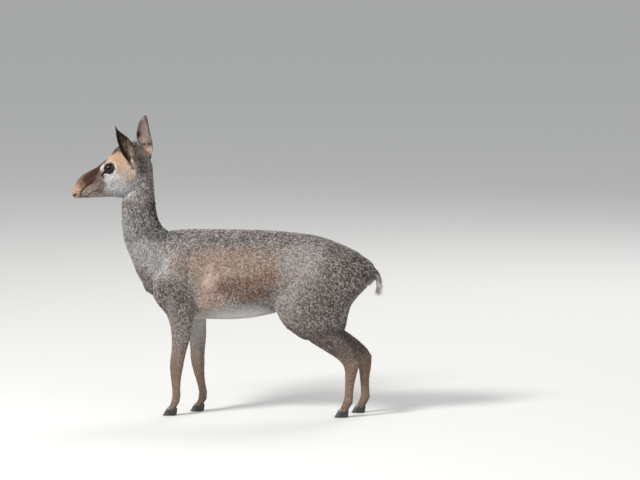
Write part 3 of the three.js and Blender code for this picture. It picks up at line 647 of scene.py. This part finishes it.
def speckled(tree, scale, detail=2):
    """Fine noise that stays where it is on the object."""
    place = tree.nodes.new("ShaderNodeTexCoord")
    noise = tree.nodes.new("ShaderNodeTexNoise")
    noise.inputs["Scale"].default_value = scale
    noise.inputs["Detail"].default_value = detail
    tree.links.new(place.outputs["Object"], noise.inputs["Vector"])
    return noise.outputs["Fac"]


def bumped(tree, shader, height, strength, distance):
    """Raises the surface by a height value, at most this far in millimetres."""
    bump = tree.nodes.new("ShaderNodeBump")
    bump.inputs["Strength"].default_value = strength
    bump.inputs["Distance"].default_value = distance * MM
    tree.links.new(height, bump.inputs["Height"])
    tree.links.new(bump.outputs["Normal"], shader.inputs["Normal"])


def kept_value(tree, name):
    """A node that reads a value kept on the mesh."""
    node = tree.nodes.new("ShaderNodeAttribute")
    node.attribute_name = name
    return node


def grizzle_group():
    """Salt and pepper hair: by its tone a hair turns nearly black or nearly white where it is grizzled."""
    group = bpy.data.node_groups.new("grizzled hair", "ShaderNodeTree")
    for name, kind, value in (
        ("Hair", "Color", (0.5, 0.5, 0.5, 1)),
        ("Amount", "Float", 1.0),
        ("Tone", "Float", 0.5),
        ("Along", "Float", 0.5),
    ):
        socket = group.interface.new_socket(name=name, in_out="INPUT", socket_type=f"NodeSocket{kind}")
        socket.default_value = value
    group.interface.new_socket(name="Color", in_out="OUTPUT", socket_type="NodeSocketColor")
    given = group.nodes.new("NodeGroupInput").outputs
    leave = group.nodes.new("NodeGroupOutput")
    pepper = ramped(group, given["Tone"], ((0.0, 1.0), (0.22, 0.8), (0.48, 0.0)), "EASE")
    salt = ramped(group, given["Tone"], ((0.52, 0.0), (0.8, 0.75), (1.0, 1.0)), "EASE")
    band = ramped(group, given["Along"], ((0.0, 0.0), (0.35, 0.3), (0.62, 1.0), (1.0, 0.55)), "EASE")
    white_share = multiplied(group, multiplied(group, salt, 0.7), given["Amount"])
    black_share = multiplied(group, multiplied(group, pepper, 0.72), given["Amount"])
    light = mixed(group, white_share, given["Hair"], (0.80, 0.76, 0.72, 1))
    dark = mixed(group, black_share, light, (0.020, 0.016, 0.014, 1))
    root = mixed(group, band, (0.34, 0.32, 0.31, 1), (1.0, 1.0, 1.0, 1))
    group.links.new(mixed(group, 1.0, dark, root, "MULTIPLY"), leave.inputs["Color"])
    return group


GRIZZLE = grizzle_group()


def grizzled(tree, shader, tone, along):
    """Colours a shader with the marking kept on the mesh, grizzled by a tone and shaded along the hair."""
    grizzle = tree.nodes.new("ShaderNodeGroup")
    grizzle.node_tree = GRIZZLE
    marks = kept_value(tree, "hair_colour")
    tree.links.new(marks.outputs["Color"], grizzle.inputs["Hair"])
    tree.links.new(marks.outputs["Alpha"], grizzle.inputs["Amount"])
    tree.links.new(tone, grizzle.inputs["Tone"])
    fed(tree, grizzle.inputs["Along"], along)
    tree.links.new(grizzle.outputs["Color"], shader.inputs["Base Color"])


def skin_material():
    """Skin under the coat: the markings, flecks of dark hair roots, and the fine bump of short flat hair."""
    material, tree, shader = new_look("skin under the coat", {"Roughness": 0.78, "Specular IOR Level": 0.25})
    flecks = speckled(tree, 620)
    grizzled(tree, shader, flecks, 0.45)
    bumped(tree, shader, flecks, 0.35, 0.5)
    return material


points, normals = points_of(skin.data)
keep_values(skin.data, "hair_colour", markings(points, normals, ear_share), "FLOAT_COLOR")
skin.data.materials.append(skin_material())
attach(skin, "root")
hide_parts(*FLESH)


# The coat
# Short flat hair all over, drawn together in thin bent tufts that overlap along the lie of the coat, from the
# nose back over the body and down the legs. Each region's tufts are one piece, rooted in the skin.

TUFT_SHARE = 1.0
QUICK_WIDTH = 1.0
FLECK_SIZE = 2.0
ROOT_DEPTH = 0.5
BAKE_PATCH = 0.0014
TONES = 65536
FLECK_HASH = (73856, 19349, 83492)
HOOF_FRINGE = (15, 25)
random = np.random.default_rng(11)


def tuft_mesh(name, roots, ways, normals, lengths, widths, heights, tones, colours, unwrap, rings=1, sag=0.0):
    """One mesh of closed, pointed tufts: a root, rings of three points and a tip, all in millimetres."""
    count = len(roots)
    across = np.cross(normals, ways)
    across /= np.linalg.norm(across, axis=1)[:, None]
    shares = [0.0] + [(0.42 if rings == 1 else (ring + 1) / (rings + 1)) for ring in range(rings)] + [1.0]
    columns = []
    along = []
    for ring, share in enumerate(shares):
        rise = heights * (1 - (1 - share) ** 2) - (ROOT_DEPTH if ring == 0 else 0)
        middle = roots + ways * (lengths * share)[:, None] + normals * rise[:, None]
        middle[:, 2] -= sag * lengths * share**2
        if ring in (0, rings + 1):
            columns.append(middle[:, None, :])
            along.append(share)
            continue
        half = widths * (0.5 if rings == 1 else 0.5 * (1 - share**2.2))
        left = middle + across * half[:, None]
        right = middle - across * half[:, None]
        ridge = middle + normals * (0.75 * half)[:, None]
        columns.append(np.stack((left, ridge, right), axis=1))
        along += [share] * 3
    points = np.concatenate(columns, axis=1)
    size = points.shape[1]
    tip = size - 1
    faces = [(0, 2, 1), (0, 3, 2), (0, 1, 3)]
    for ring in range(rings - 1):
        low, high = 1 + 3 * ring, 4 + 3 * ring
        for a, b in ((0, 1), (1, 2), (2, 0)):
            faces += [(low + a, low + b, high + b), (low + a, high + b, high + a)]
    last = tip - 3
    faces += [(tip, last, last + 1), (tip, last + 1, last + 2), (tip, last + 2, last)]
    corners = (np.array(faces)[None] + np.arange(count)[:, None, None] * size).ravel()

    mesh = bpy.data.meshes.new(name)
    mesh.vertices.add(count * size)
    mesh.loops.add(len(corners))
    mesh.polygons.add(len(corners) // 3)
    mesh.vertices.foreach_set("co", (points * MM).astype(np.float32).ravel())
    mesh.loops.foreach_set("vertex_index", corners.astype(np.int32))
    mesh.polygons.foreach_set("loop_start", np.arange(0, len(corners), 3, dtype=np.int32))
    mesh.update(calc_edges=True)
    mesh.polygons.foreach_set("use_smooth", np.ones(len(mesh.polygons), bool))
    keep_values(mesh, "tone", np.repeat(tones, size))
    keep_values(mesh, "along", np.tile(along, count))
    keep_values(mesh, "hair_colour", np.repeat(colours, size, axis=0), "FLOAT_COLOR")
    patch = np.zeros((size, 2))
    patch[1:, 0] = BAKE_PATCH * np.cos(np.arange(size - 1) * 2.1)
    patch[1:, 1] = BAKE_PATCH * np.sin(np.arange(size - 1) * 2.1)
    spots = (unwrap[:, None, :] + patch[None]).reshape(-1, 2)
    layer = mesh.uv_layers.new(name="OFBake")
    layer.uv.foreach_set("vector", spots[corners].astype(np.float32).ravel())
    piece = bpy.data.objects.new(name, mesh)
    bpy.context.scene.collection.objects.link(piece)
    return piece


def coat_material():
    """Hair: its marking, its own tone in the salt and pepper, darker at the root and pale under the tip."""
    settings = {"Roughness": 0.75, "Specular IOR Level": 0.22, "Sheen Weight": 0.05, "Sheen Roughness": 0.4}
    material, tree, shader = new_look("short hair", settings)
    grizzled(tree, shader, kept_value(tree, "tone").outputs["Fac"], kept_value(tree, "along").outputs["Fac"])
    return material


def node_region(node):
    """The name of the coat piece that covers a flesh node."""
    if node in ("head", "lower_jaw", "nose"):
        return "head"
    if node.startswith("ear"):
        return "ears"
    return "_".join(node.split("_")[:2]) if "leg" in node else node


LOIN = 75


def regions_of(points, labels):
    """For each point the coat piece it belongs to. The torso's coat is four pieces, parted at the loin."""
    names = np.array([node_region(node) for node in FLESH], dtype="<U24")[labels]
    torso = names == "torso"
    for side, sign in SIDES.items():
        for end, ahead in (("front", -1), ("rear", 1)):
            here = (np.sign(points[:, 1] + 1e-6) == sign) & (np.sign(points[:, 0] - LOIN + 1e-6) == ahead)
            names[torso & here] = f"torso_{end}_{side}"
    return names


# The middle of each leg from the top down as height and X, and how far back its foot stands from there.
LEG_LINES = {
    "foreleg": [(332, -81), (264, -101), (208, -90), (152, -89), (96, -98), (31, -100), (13, -109)],
    "hindleg": [(336, 191), (240, 182), (200, 174), (165, 190), (129, 238), (97, 254), (32, 248), (13, 238)],
}
LEG_SWINGS = {"foreleg_left": 2, "foreleg_right": 51, "hindleg_left": 0, "hindleg_right": 30}
LEG_SWING_TOPS = {"foreleg": 300, "hindleg": 290}
FETLOCK_HEIGHT = 31


def leg_middle(limb, heights):
    """X of the middle of a leg at these heights."""
    leg = limb.split("_")[0]
    levels, places = np.array(LEG_LINES[leg][::-1]).T
    share = np.clip((LEG_SWING_TOPS[leg] - heights) / (LEG_SWING_TOPS[leg] - FETLOCK_HEIGHT), 0, 1)
    return np.interp(heights, levels, places) + LEG_SWINGS[limb] * share


def unwrapped(region, points):
    """A spot for each point on the region's own unwrap: round its axis across, and along its axis upwards."""
    x, y, z = points.T
    if region == "ears":
        left = y < 0
        both = zip(in_ear(points, "left")[:2], in_ear(points, "right")[:2])
        share, across = (np.where(left, there, here) for there, here in both)
        return np.stack((0.25 + 0.2 * np.clip(across, -1.1, 1.1) + 0.5 * left, 0.15 + 0.75 * share), axis=1)
    if region.startswith("torso"):
        return np.stack((np.arctan2(np.abs(y), z - 276) / 3.3 + 0.02, (x + 160) / 470), axis=1)
    if region == "head":
        along, out, above = in_head(points).T
        turn, share = (out, above - 4), (along + 30) / 190
    elif region == "neck":
        turn, share = (y, x + 168 - 0.12 * (z - 400)), (z - 215) / 290
    elif region == "tail":
        turn, share = (y, x - 304), (z - 240) / 75
    else:
        turn, share = (np.abs(y) - LEG_SPREADS[region.split("_")[0]], x - leg_middle(region, z)), z / 350
    return np.stack((np.arctan2(*turn) / 6.4 + 0.5, share), axis=1)


def coat_roots(amount):
    """Seeded places all over the skin, as triangle numbers and shares of their corners."""
    mesh = skin.data
    mesh.calc_loop_triangles()
    corners = np.empty(len(mesh.loop_triangles) * 3, np.int32)
    mesh.loop_triangles.foreach_get("vertices", corners)
    corners = corners.reshape(-1, 3)
    a, b, c = (points_of(mesh)[0][corners[:, k]] for k in range(3))
    area = np.linalg.norm(np.cross(b - a, c - a), axis=1) / 2
    wanted = area * coat[corners, DENSITY].mean(axis=1) / 100 * amount
    total = int(wanted.sum())
    chosen = np.searchsorted(np.cumsum(wanted), random.random(total) * wanted.sum())
    chosen = np.minimum(chosen, len(corners) - 1)
    first, second = random.random((2, total))
    root = np.sqrt(first)
    shares = np.stack((1 - root, root * (1 - second), root * second), axis=1)
    return corners[chosen], shares


corners, shares = coat_roots(TUFT_SHARE)
points, normals = points_of(skin.data)


def blended(values):
    """Values of the skin's points at the roots of the coat."""
    return (values[corners] * shares[:, :, None]).sum(axis=1)


roots = blended(points)
uprights = blended(normals)
uprights /= np.linalg.norm(uprights, axis=1)[:, None]
values = blended(coat)
ways = values[:, WAY] + random.normal(0, 0.16, (len(roots), 3))
ways -= uprights * (ways * uprights).sum(axis=1)[:, None]
ways /= np.linalg.norm(ways, axis=1)[:, None]
lengths = values[:, LENGTH] * random.uniform(0.75, 1.25, len(roots))
widths = values[:, WIDTH] * random.uniform(0.75, 1.2, len(roots)) * QUICK_WIDTH
heights = values[:, DEPTH] * random.uniform(0.75, 1.3, len(roots))
lengths *= 1 + 0.9 * (1 - soft_step(roots[:, 2], *HOOF_FRINGE))
# Tufts that stand close together share a tone, so that the salt and pepper comes in flecks of this size.
flecks = np.floor((roots + random.normal(0, 0.5, roots.shape)) / FLECK_SIZE).astype(int)
tones = random.random(TONES)[(flecks * FLECK_HASH).sum(axis=1) % TONES]
tones = np.clip(tones + random.normal(0, 0.1, len(roots)), 0, 1)
colours = markings(roots, uprights, blended(ear_share[:, None])[:, 0])

# No hair grows in the eye, the nostrils, the line of the mouth and the gland before the eye.
places = mirrored(in_head(roots))
bare = np.linalg.norm(places - EYE_PLACE, axis=1) < EYE_RADIUS + 0.9
for line, reach in (
    ([(152, 5, -3.6), (148, 9, -2.2)], (2.6, 5, 2.2)),
    ([*MOUTH_LINE, (100, 16, -7.4)], (1, 14, 0.8)),
    ([(85.5, 23, 21), (84, 23, 17.5)], (1.8, 12, 3.2)),
):
    bare |= away_from(places, line, reach) < 1
region_names = regions_of(roots, nearest[corners[:, 0]])
HAIR = coat_material()
for region in np.unique(region_names):
    here = (region_names == region) & ~bare
    piece = tuft_mesh(
        f"coat_{region}",
        roots[here],
        ways[here],
        uprights[here],
        lengths[here],
        widths[here],
        heights[here],
        tones[here],
        colours[here],
        unwrapped(region, roots[here]),
    )
    piece.data.materials.append(HAIR)
    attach(piece, "root")


# The crest, the hair in the ears, the lashes and the whiskers
# Longer hairs than the coat's: a dark grizzled crest from the forehead to between the ears, pale hair low in
# each ear, black lashes along each upper lid, and a few stiff hairs on the lips, all rooted in the skin.


def long_hairs(name, starts, ups, ways, length, width, height, colour, grizzle, sag=0.0):
    """A group of tapered hairs or locks of four rings, each turned a little its own way."""
    count = len(starts)
    spots = (starts - starts.min(axis=0))[:, ::2] / np.ptp(starts, axis=0)[::2]
    lie = ways + random.normal(0, 0.14, (count, 3))
    lie -= ups * (lie * ups).sum(axis=1)[:, None] * 0.999
    lie /= np.linalg.norm(lie, axis=1)[:, None]
    size = random.uniform(0.7, 1.2, count)
    group = tuft_mesh(
        name,
        starts,
        lie,
        ups,
        length * size,
        np.full(count, width),
        height * size,
        random.random(count),
        np.tile(np.append(colour, grizzle), (count, 1)),
        0.05 + 0.9 * spots,
        rings=4,
        sag=sag,
    )
    group.data.materials.append(HAIR)
    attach(group, "root")


def some_roots(mask, count):
    """Seeded places among the skin's points where the mask holds, with the skin's upright there."""
    chosen = random.choice(np.flatnonzero(mask), count)
    return points[chosen] + random.normal(0, 0.4, (count, 3)), normals[chosen]


LOCK_SHARE = 1.0
CREST_LINE = [(52, 0, 56), (34, 0, 62), (8, 0, 58)]
CREST_LOCKS = int(900 * LOCK_SHARE)
EAR_LOCKS = int(110 * LOCK_SHARE)
LASH_ROOT = EYE_RADIUS + 1.2
LASHES = slice(3, 27)
LIP_HAIRS = [
    (138, 9, 2), (133, 11, 3), (128, 12, 4), (130, 10, -3), (124, 12, -3), (118, 13, 0), (112, 14, -13)
]
BLACK_HAIR = hair(16, 13, 12)
crest = away_from(in_head(points), CREST_LINE, (9, 15, 12)) < random.uniform(0.6, 1.05, len(points))
starts, ups = some_roots(crest, CREST_LOCKS)
crest_way = np.array((-0.95, 0, 0.2)) @ HEAD_AXES
long_hairs("crest_hair", starts, ups, crest_way, 12, 0.9, 3.2, hair(84, 70, 60), 0.8)

for side, sign in SIDES.items():
    share, across, outwards = in_ear(points, side)
    inside = (normals * outwards).sum(axis=1) < -0.5
    inside &= (np.sign(points[:, 1]) == sign) & (ear_share > 0.5)
    inside &= (share > 0.02) & (share < 0.45) & (np.abs(across - 0.3) < 0.5)
    starts, ups = some_roots(inside, EAR_LOCKS)
    way = EAR_WAYS[side] / np.linalg.norm(EAR_WAYS[side])
    long_hairs(f"ear_hair_{side}", starts, ups, way, 10, 0.5, 3.0, hair(176, 150, 126), 0.6)

    upper = lid_line(sign, LASH_ROOT)[LASHES]
    outward = (upper - eye_centre(sign)) / LASH_ROOT
    ups = np.cross(np.gradient(upper, axis=0), outward)
    ups *= np.sign(ups[:, 2:]) / np.linalg.norm(ups, axis=1)[:, None]
    twice = np.repeat(np.arange(len(upper)), 2)
    starts = upper[twice] + random.normal(0, 0.25, (len(twice), 3))
    way = outward[twice] + (0, 0, -0.15)
    long_hairs(f"lashes_{side}", starts, ups[twice], way, 5.5, 0.34, 1.6, BLACK_HAIR, 0.0)

    starts = from_head([(x, sign * y, z) for x, y, z in LIP_HAIRS])
    ups = np.tile(np.array((0, 0, 1.0)) @ HEAD_AXES, (len(starts), 1))
    way = np.array((0.35, 0.8 * sign, -0.4)) @ HEAD_AXES
    long_hairs(f"whiskers_{side}", starts, ups, way, 13, 0.3, 0.8, BLACK_HAIR, 0.0, sag=0.15)


# The eyes
# Smooth wet balls set in the sides of the head, nearly black, with a bulge over a dark brown iris and a level
# pupil. Each fills the opening of its lids and takes the place of the solid eye.


def gaze(sign):
    """The way an eye looks: out to its side and a little ahead."""
    return np.array((-math.sin(EYE_FORWARD), sign * math.cos(EYE_FORWARD), 0.05))


def eye_material():
    """A wet eye: a level oval pupil, a dark brown iris with fine rays, and dark brown around it."""
    settings = {
        "Roughness": 0.3,
        "Specular IOR Level": 0.05,
        "Coat Weight": 0.8,
        "Coat Roughness": 0.02,
        "Coat IOR": 1.3,
    }
    material, tree, shader = new_look("wet eye", settings)
    rings = (
        (0.0, (0.016, 0.008, 0.005)),
        (0.60, (0.030, 0.014, 0.008)),
        (0.70, (0.004, 0.003, 0.003)),
        (1.0, (0.012, 0.008, 0.007)),
    )
    iris = ramped(tree, kept_value(tree, "from_gaze").outputs["Fac"], rings)
    rayed = mixed(tree, 0.6, iris, speckled(tree, 900), "MULTIPLY")
    outside = ramped(tree, kept_value(tree, "from_pupil").outputs["Fac"], ((0.92, 0.0), (1.0, 1.0)))
    tree.links.new(mixed(tree, outside, (0.002, 0.002, 0.003, 1), rayed), shader.inputs["Base Color"])
    return material


IRIS_RADIUS = 8.6
PUPIL_HALVES = (6.4, 4.6)
BULGE = 1.1
EYE_LOOK = eye_material()
for side, sign in SIDES.items():
    bpy.ops.mesh.primitive_ico_sphere_add(subdivisions=6, radius=EYE_RADIUS * MM)
    eye = bpy.context.object
    eye.name = f"eyeball_{side}"
    points, _ = points_of(eye.data)
    ahead = gaze(sign) / np.linalg.norm(gaze(sign))
    turn = points / EYE_RADIUS @ ahead
    off_axis = np.sqrt(np.clip(1 - turn**2, 0, 1)) * EYE_RADIUS
    off_axis[turn < 0] = EYE_RADIUS
    bulge = BULGE * (1 - soft_step(off_axis, 2.0, IRIS_RADIUS + 1.2))
    keep_values(eye.data, "from_gaze", np.where(turn > 0, off_axis / EYE_RADIUS, 1.0))
    level = points - np.outer(points @ ahead, ahead)
    sideways = np.array((ahead[1], -ahead[0], 0))
    pupil = np.hypot(level @ sideways / PUPIL_HALVES[0], level[:, 2] / PUPIL_HALVES[1])
    keep_values(eye.data, "from_pupil", np.where(turn > 0, np.clip(pupil, 0, 2), 2.0))
    move_points(eye.data, points + ahead * bulge[:, None] + eye_centre(sign))
    only(eye)
    bpy.ops.object.shade_smooth()
    eye.data.materials.append(EYE_LOOK)
    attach(eye, "root")
    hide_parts(f"eye_{side}")


# The eyelids
# Bare black rims of soft skin that follow the opening of the lids and run to a point in the tear corner. They
# lie on the eyeball and close the gap between it and the hide.


def plain_material(name, colour, roughness, scale, strength):
    """A smooth bare surface whose colour and bump vary a little with fine noise."""
    material, tree, shader = new_look(name, {"Roughness": roughness})
    noise = speckled(tree, scale, detail=4)
    dark, light = (tuple(share * value for value in colour) for share in (0.6, 1.5))
    tree.links.new(ramped(tree, noise, ((0.3, dark), (0.75, light))), shader.inputs["Base Color"])
    bumped(tree, shader, noise, strength, 0.3)
    return material


BARE_SKIN = plain_material("bare black skin", (0.010, 0.008, 0.007), 0.6, 700, 0.4)


def rim(name, line, radius, material):
    """A closed round band along a line of points in millimetres."""
    curve = bpy.data.curves.new(name, "CURVE")
    curve.dimensions = "3D"
    curve.bevel_depth = radius * MM
    curve.bevel_resolution = 3
    spline = curve.splines.new("POLY")
    spline.points.add(len(line) - 1)
    for point, place in zip(spline.points, line):
        point.co = (*(place * MM), 1)
    spline.use_cyclic_u = True
    band = bpy.data.objects.new(name, curve)
    bpy.context.scene.collection.objects.link(band)
    only(band)
    bpy.ops.object.convert(target="MESH")
    bpy.ops.object.shade_smooth()
    band.data.materials.append(material)
    return band


for side, sign in SIDES.items():
    lid = rim(f"eyelid_rim_{side}", lid_line(sign, EYE_RADIUS + 0.6), 0.8, BARE_SKIN)
    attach(lid, "root")


# The hooves
# Two toes of black horn on each foot, pointed ahead and flat underneath, with faint growth rings round the
# wall. Each pair takes the place of the solid hooves and runs up into the fringe of the pastern.

HOOF_LENGTH = 27
HOOF_WIDTH = 8.6
HOOF_HEIGHT = 17
HOOF_LEAN = 6
TOE_OFFSET = 4.9
GROWTH_CUTS = (0.06, 0.2, 0.24, 0.4, 0.44, 0.6, 0.64, 0.8, 0.84, 0.94)
FOOT_PLACES = {"foreleg": (-113.7, 31), "hindleg": (233.3, 34)}
HORN = plain_material("black horn", (0.020, 0.017, 0.015), 0.42, 260, 0.5)


def toe(x, y, inner):
    """One toe: a cylinder cut level for its growth rings, narrowed ahead and leaned back towards its top."""
    bpy.ops.mesh.primitive_cylinder_add(vertices=32, radius=0.5, depth=1, location=(0, 0, 0.5))
    piece = bpy.context.object
    only(piece)
    bpy.ops.object.transform_apply(location=True, rotation=True, scale=True)
    bpy.ops.object.mode_set(mode="EDIT")
    bpy.ops.mesh.select_all(action="SELECT")
    bpy.ops.mesh.inset(thickness=0.12, use_individual=False)
    for level in GROWTH_CUTS:
        bpy.ops.mesh.select_all(action="SELECT")
        bpy.ops.mesh.bisect(plane_co=(0, 0, level), plane_no=(0, 0, 1))
    bpy.ops.object.mode_set(mode="OBJECT")
    points, _ = points_of(piece.data)
    points *= MM
    across, level = points[:, 1], points[:, 2]
    ahead = -points[:, 0] * 2
    # The wall narrows upwards, with a groove at each cut whose level ends in 4, a worn sole and a round top.
    groove = 1 - 0.02 * (np.round(level * 100).astype(int) % 10 == 4)
    shrink = (1 - 0.26 * level**1.1) * groove
    shrink *= np.where(level < 0.03, 0.965, 1) * (1 - 0.3 * soft_step(level, 0.7, 1.02))
    taper = np.where(ahead > 0, 1 - 0.62 * np.clip(ahead, 0, 1) ** 2, 1)
    shaped = np.stack(
        (
            x - ahead * HOOF_LENGTH / 2 * shrink + HOOF_LEAN * level**0.8,
            y + inner * TOE_OFFSET * (1 + 0.18 * ahead) + across * HOOF_WIDTH * taper * shrink,
            level * HOOF_HEIGHT,
        ),
        axis=1,
    )
    move_points(piece.data, shaped)
    return piece


for leg, (foot_x, foot_y) in FOOT_PLACES.items():
    for side, sign in SIDES.items():
        limb = f"{leg}_{side}"
        x = foot_x + LEG_SWINGS[limb]
        toes = [toe(x, sign * foot_y, inner) for inner in (-1, 1)]
        only(*toes)
        bpy.ops.object.join()
        hooves = bpy.context.object
        hooves.name = f"{limb}_hooves"
        sharp = math.radians(50)
        modified(hooves, "BEVEL", width=0.35 * MM, segments=2, limit_method="ANGLE", angle_limit=sharp)
        only(hooves)
        bpy.ops.object.shade_smooth_by_angle(angle=math.radians(40))
        hooves.data.materials.append(HORN)
        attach(hooves, "root")
        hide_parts(f"{limb}_hoof_outer", f"{limb}_hoof_inner")


# The studio
# A plain pale floor, a large soft light from the upper left in front, weaker ones from the right and behind,
# and a camera that stands far off, a little above the animal and a little to its rear.

VIEW_CENTRE = Vector((0.189, 0, 0.352))
VIEW_TURN = math.radians(4)
VIEW_RISE = math.radians(6)
VIEW_DISTANCE = 8
VIEW_WIDTH = 1.28
SENSOR_WIDTH = 36


def aimed(thing, place, target):
    """Puts a light or a camera at a place and turns it to look at the target."""
    thing.location = place
    thing.rotation_euler = (Vector(target) - Vector(place)).to_track_quat("-Z", "Y").to_euler()


bpy.ops.mesh.primitive_plane_add(size=80, location=(0, 0, -0.0005))
floor = bpy.context.object
floor.name = "floor"
pale, _, _ = new_look("pale floor", {"Base Color": (0.50, 0.49, 0.47, 1), "Roughness": 0.85})
floor.data.materials.append(pale)

for name, place, size, power in (
    ("key light", (-2.4, -2.4, 3.0), 1.0, 290),
    ("fill light", (2.6, -2.4, 1.4), 2.2, 26),
    ("back light", (1.2, 2.6, 2.6), 1.6, 60),
):
    bpy.ops.object.light_add(type="AREA")
    light = bpy.context.object
    light.name = name
    light.data.size = size
    light.data.energy = power
    aimed(light, place, (0, 0, 0.3))

world = bpy.data.worlds.new("studio air")
bpy.context.scene.world = world
world.use_nodes = True
world.node_tree.nodes["Background"].inputs["Color"].default_value = (0.93, 0.96, 1, 1)
world.node_tree.nodes["Background"].inputs["Strength"].default_value = 0.75

bpy.ops.object.camera_add()
camera = bpy.context.object
camera.name = "camera"
level_share = math.cos(VIEW_RISE)
toward = Vector((math.sin(VIEW_TURN) * level_share, -math.cos(VIEW_TURN) * level_share, math.sin(VIEW_RISE)))
aimed(camera, VIEW_CENTRE + toward * VIEW_DISTANCE, VIEW_CENTRE)
camera.data.sensor_width = SENSOR_WIDTH
camera.data.lens = SENSOR_WIDTH * VIEW_DISTANCE / VIEW_WIDTH
camera.data.clip_end = 200
bpy.context.scene.camera = camera
bpy.context.scene.view_settings.view_transform = "Standard"
